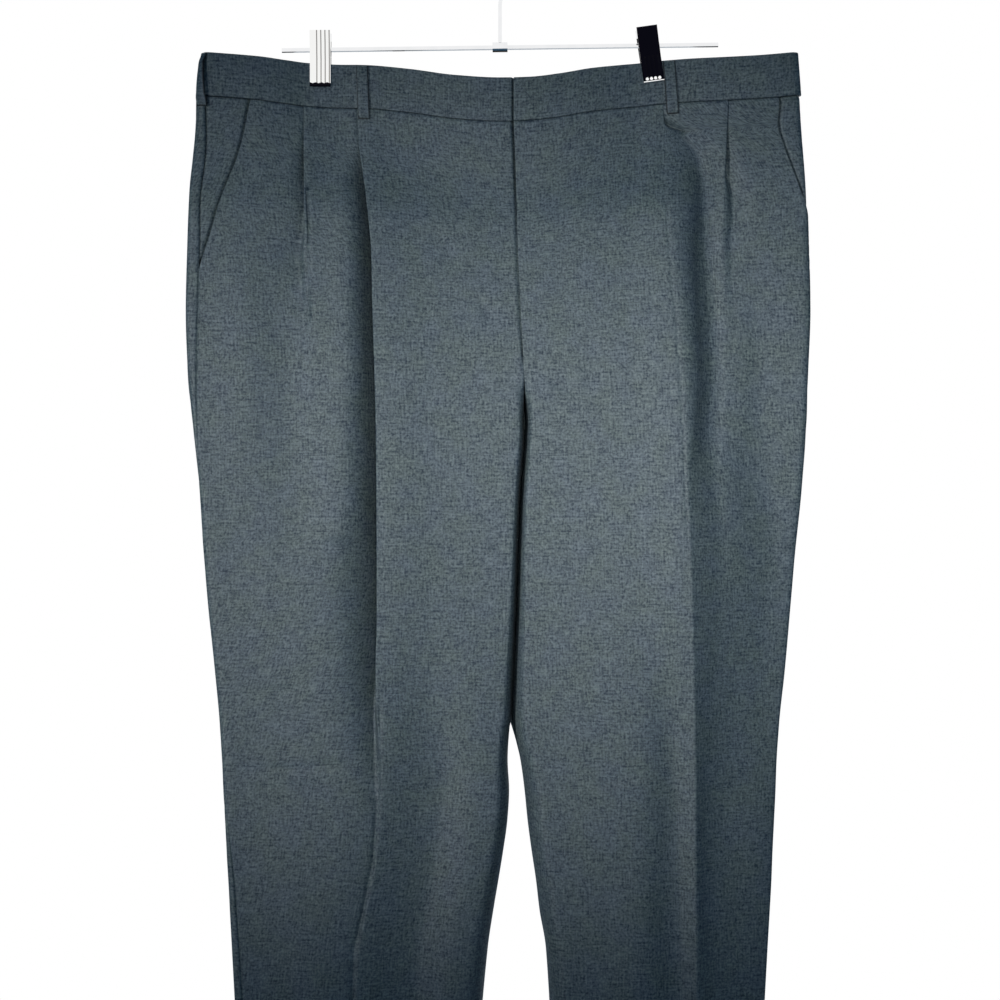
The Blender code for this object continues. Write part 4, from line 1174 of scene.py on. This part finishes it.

# %% [markdown]
# ## The cutting list
# A marker in a cutting room needs each piece's width, length and area. Nothing here was stretched,
# so the laid cloth gives them: its widest row, its longest column and the sum of its small facets.
# The waistband hangs from the jaws of the clips, and every other piece hangs from the waistband.

# %% The size of every sheet of cloth
def cut_size(points):
    """Width, length and area of a grid of points in mm, as metres and square metres."""
    width = lengths_across(points)[:, -1].max()
    length = lengths_across(points.transpose(1, 0, 2))[:, -1].max()
    one, two = points[1:, 1:] - points[:-1, :-1], points[1:, :-1] - points[:-1, 1:]
    area = np.linalg.norm(np.cross(one, two), axis=2).sum() / 2
    return float(width) * MM, float(length) * MM, float(area) * MM * MM


JAWS = [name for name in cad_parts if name.startswith("clip_jaw")]
BAND_PIECES = [made for made, points in bands]
for pieces, above in ((panels, BAND_PIECES), (bands, JAWS), (loops, BAND_PIECES)):
    for made, points in pieces:
        width, length, area = cut_size(points)
        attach(made, "root")
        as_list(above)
        print(f"{made.name}: {width * 1000:.0f} x {length * 1000:.0f} mm, {area:.4f} m2")

# %% [markdown]
# ## Chrome, and the two jaws that show
# The hanger is steel wire and pressed sheet under polished chrome, so it shows the white room.
# Its two front jaws are alike, but each one's colour carries painted reflections. On one, grey
# lines down its face are painted reflections of its flutes, and its toothed tip is painted black as
# dark reflection and shade. The other is painted black all over as a dark reflection, with four
# painted glints at the ends of its ribs over a painted highlight along its lip. Such small marks
# are worked out from the distance to a line or to a centre, which keeps them sharp without any
# more geometry.

# %% Painted reflections on the jaw with flutes
# The silver is the chrome's own colour. The grey lines and the dark tip are painted reflection and
# shade.
SILVER, PAINTED_FLUTE_REFLECTION, PAINTED_DARK_REFLECTION = (0.90, 0.90, 0.89, 1.0), (0.25, 0.24, 0.23, 1.0), (0.003, 0.003, 0.006, 1.0)
FLUTE_ORIGIN, FLUTE_STEP, FLUTE_WIDTH, FLUTES_FROM = 0.1717, 0.0039, 0.13, -0.1735
TOOTH_STEP, TOOTH_HEIGHT, TEETH_LEVEL = 0.0013, 0.0009, -0.1262
WHOLE_TURNS = 10.0  # keeps the count of turns above zero


def painted_flute_lines(tree, place):
    """Bright chrome, with painted grey reflections of the four flutes, and painted dark reflection
    and shade below a toothed line.
    """
    split = node(tree, "ShaderNodeSeparateXYZ", {0: place})
    x, z = split.outputs[0], split.outputs[2]
    turns = maths(tree, "DIVIDE", maths(tree, "ADD", x, FLUTE_ORIGIN), FLUTE_STEP)
    turns = maths(tree, "ADD", turns, WHOLE_TURNS)
    flute_reflection = maths(tree, "LESS_THAN", maths(tree, "PINGPONG", turns, 0.5), FLUTE_WIDTH)
    flute_reflection = maths(tree, "MULTIPLY", flute_reflection, maths(tree, "GREATER_THAN", x, FLUTES_FROM))
    tooth = maths(tree, "PINGPONG", maths(tree, "MULTIPLY", turns, TOOTH_STEP), TOOTH_HEIGHT)
    tip = maths(tree, "LESS_THAN", maths(tree, "ADD", z, tooth), TEETH_LEVEL)
    return blend_colour(tree, tip, blend_colour(tree, flute_reflection, SILVER, PAINTED_FLUTE_REFLECTION), PAINTED_DARK_REFLECTION)


# %% Painted dark reflection and glints on the other jaw
# The black, the four round dots and the line along the lip are painted reflection and glints on
# chrome.
GLINT_X, GLINT_Z, GLINT_TILT = 0.1440, 0.1226, math.radians(7.5)
GLINT_STEP, GLINT_RADIUS, GLINTS_REACH, HALF_TURNS = 0.0039, 0.0015, 0.0078, 10.5
LIP_BELOW, LIP_HALF = 0.0033, 0.0012
PAINTED_GLINT = (0.94, 0.94, 0.94, 1.0)


def weighted(tree, a, share_a, b, share_b):
    """share_a of a and share_b of b."""
    parts = (maths(tree, "MULTIPLY", value, share) for value, share in ((a, share_a), (b, share_b)))
    return maths(tree, "ADD", *parts)


def painted_dark_reflection(tree, place):
    """Painted dark reflection, with a row of four painted glints and a painted highlight on the
    lip, a little out of level.
    """
    split = node(tree, "ShaderNodeSeparateXYZ", {0: place})
    x = maths(tree, "SUBTRACT", split.outputs[0], GLINT_X)
    z = maths(tree, "ADD", split.outputs[2], GLINT_Z)
    cos, sin = math.cos(GLINT_TILT), math.sin(GLINT_TILT)
    along, up = weighted(tree, x, cos, z, sin), weighted(tree, z, cos, x, -sin)
    turns = maths(tree, "ADD", maths(tree, "DIVIDE", along, GLINT_STEP), HALF_TURNS)
    aside = maths(tree, "MULTIPLY", maths(tree, "PINGPONG", turns, 0.5), GLINT_STEP)
    squares = maths(tree, "POWER", aside, 2.0), maths(tree, "MULTIPLY", up, up)
    away = maths(tree, "SQRT", maths(tree, "ADD", *squares))
    in_row = maths(tree, "LESS_THAN", maths(tree, "ABSOLUTE", along), GLINTS_REACH)
    glint = maths(tree, "MULTIPLY", maths(tree, "LESS_THAN", away, GLINT_RADIUS), in_row)
    off_lip = maths(tree, "ABSOLUTE", maths(tree, "ADD", up, LIP_BELOW))
    lip_highlight = maths(tree, "LESS_THAN", off_lip, LIP_HALF)
    return blend_colour(tree, maths(tree, "MAXIMUM", glint, lip_highlight), PAINTED_DARK_REFLECTION, PAINTED_GLINT)


# %% Chrome on the hanger
CHROME_DIM, CHROME_LIGHT = (0.80, 0.81, 0.82, 1.0), (0.90, 0.90, 0.91, 1.0)


def make_chrome(name, marks=None):
    made = bpy.data.materials.new(name)
    made.use_nodes = True
    tree = made.node_tree
    shader = tree.nodes["Principled BSDF"]
    place = node(tree, "ShaderNodeTexCoord").outputs["Object"]
    haze = node(tree, "ShaderNodeTexNoise", {"Vector": place, "Scale": 90.0, "Detail": 4.0})
    haze = haze.outputs[0]
    colour = marks(tree, place) if marks else blend_colour(tree, haze, CHROME_DIM, CHROME_LIGHT)
    tree.links.new(colour, shader.inputs["Base Color"])
    shader.inputs["Metallic"].default_value = 1.0
    shader.inputs["Roughness"].default_value = 0.0
    bump = node(tree, "ShaderNodeBump", {"Strength": 0.05, "Distance": 0.0001, "Height": haze})
    tree.links.new(bump.outputs[0], shader.inputs["Normal"])
    return made


chrome = make_chrome("Chromed steel")
jaws = {"clip_jaw_front_right": make_chrome("Chromed steel, painted flute reflections", painted_flute_lines),
        "clip_jaw_front_left": make_chrome("Chromed steel, painted dark reflection and glints", painted_dark_reflection)}
hanger = [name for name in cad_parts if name.startswith(("hanger", "clip"))]
for name in hanger:
    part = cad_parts[name]
    part.data.materials.clear()
    part.data.materials.append(jaws.get(name, chrome))
print("hanger pieces:", len(hanger))

# %% [markdown]
# ## Floor, light and air
# The room is white to the eye and to a mirror, so the cloth stands against clean white and the
# chrome is bright. For everything else its air is dim and blue, which cools the shadows, and the
# floor glows a little for the eye alone, so that it stays pale. A narrow lamp far to the left
# does the modelling: it grazes the cloth, so each fold has a light and a dark side, and it fades
# towards the waist and the hems. A second one near the camera lifts the middle, and a soft one
# behind lights the back. Lamps this far away keep the light even across a garment this wide.

# %% Floor
FLOOR_DIM, FLOOR_LIGHT = (0.82, 0.82, 0.81, 1.0), (0.86, 0.86, 0.85, 1.0)
FLOOR_GLOW = (0.55, 0.51, 0.47, 1.0)

bpy.ops.object.select_all(action="DESELECT")
bpy.ops.mesh.primitive_cylinder_add(vertices=96, radius=1.0, depth=0.02,
                                    location=(0.0, 0.0, -1.27))
floor = bpy.context.object
floor.name = "floor"
floor_finish = bpy.data.materials.new("Pale floor")
floor_finish.use_nodes = True
tree = floor_finish.node_tree
shader = tree.nodes["Principled BSDF"]
place = node(tree, "ShaderNodeTexCoord").outputs["Object"]
mottle = node(tree, "ShaderNodeTexNoise", {"Vector": place, "Scale": 6.0}).outputs[0]
mottled = blend_colour(tree, mottle, FLOOR_DIM, FLOOR_LIGHT)
tree.links.new(mottled, shader.inputs["Base Color"])
shader.inputs["Roughness"].default_value = 0.7
shader.inputs["Emission Color"].default_value = FLOOR_GLOW
to_eye = node(tree, "ShaderNodeLightPath").outputs["Is Camera Ray"]
tree.links.new(to_eye, shader.inputs["Emission Strength"])
floor.data.materials.append(floor_finish)
print("floor under the hems, at", round(floor.location.z, 2), "m")

# %% Air
AIR_COLOUR, AIR_STRENGTH = (0.24, 0.59, 1.0, 1.0), 0.152
WHITE = (1.0, 1.0, 1.0, 1.0)

scene = bpy.context.scene
scene.view_settings.view_transform = "Standard"

world = bpy.data.worlds.new("Studio")
scene.world = world
world.use_nodes = True
tree = world.node_tree
tree.nodes.clear()
path = node(tree, "ShaderNodeLightPath")
seen = maths(tree, "MAXIMUM", path.outputs["Is Camera Ray"], path.outputs["Is Singular Ray"])
air = node(tree, "ShaderNodeBackground", {"Color": AIR_COLOUR, "Strength": AIR_STRENGTH})
white = node(tree, "ShaderNodeBackground", {"Color": WHITE, "Strength": 1.0})
both = node(tree, "ShaderNodeMixShader", {0: seen, 1: air.outputs[0], 2: white.outputs[0]})
node(tree, "ShaderNodeOutputWorld", {0: both.outputs[0]})
print("air strength", AIR_STRENGTH)


# %% Lamps
def aimed(kind, name, place, target, power, wide=1.0, **settings):
    lamp = bpy.data.lights.new(name, kind)
    lamp.energy = power
    for key, value in settings.items():
        setattr(lamp, key, value)
    made = bpy.data.objects.new(name, lamp)
    scene.collection.objects.link(made)
    made.location = place
    made.rotation_euler = (Vector(target) - Vector(place)).to_track_quat("-Z", "Y").to_euler()
    made.scale = (wide, 1.0, 1.0)
    made.visible_camera = False
    return made


lamps = (
    aimed("SPOT", "Key", (-3.4, -4.3, -0.6), (-0.05, 0.0, -0.522), 640.0, wide=1.6,
          spot_size=math.radians(11.7), spot_blend=1.0, shadow_soft_size=0.12),
    aimed("SPOT", "Fill", (0.3, -4.4, -0.5), (0.13, 0.0, -0.450), 410.0, wide=1.5,
          spot_size=math.radians(9.9), spot_blend=1.0, shadow_soft_size=0.25),
    aimed("AREA", "Back fill", (0.6, 3.0, 0.2), (0.0, 0.0, -0.6), 75.0, shape="DISK", size=1.2),
)
print("lamps:", ", ".join(lamp.name for lamp in lamps))
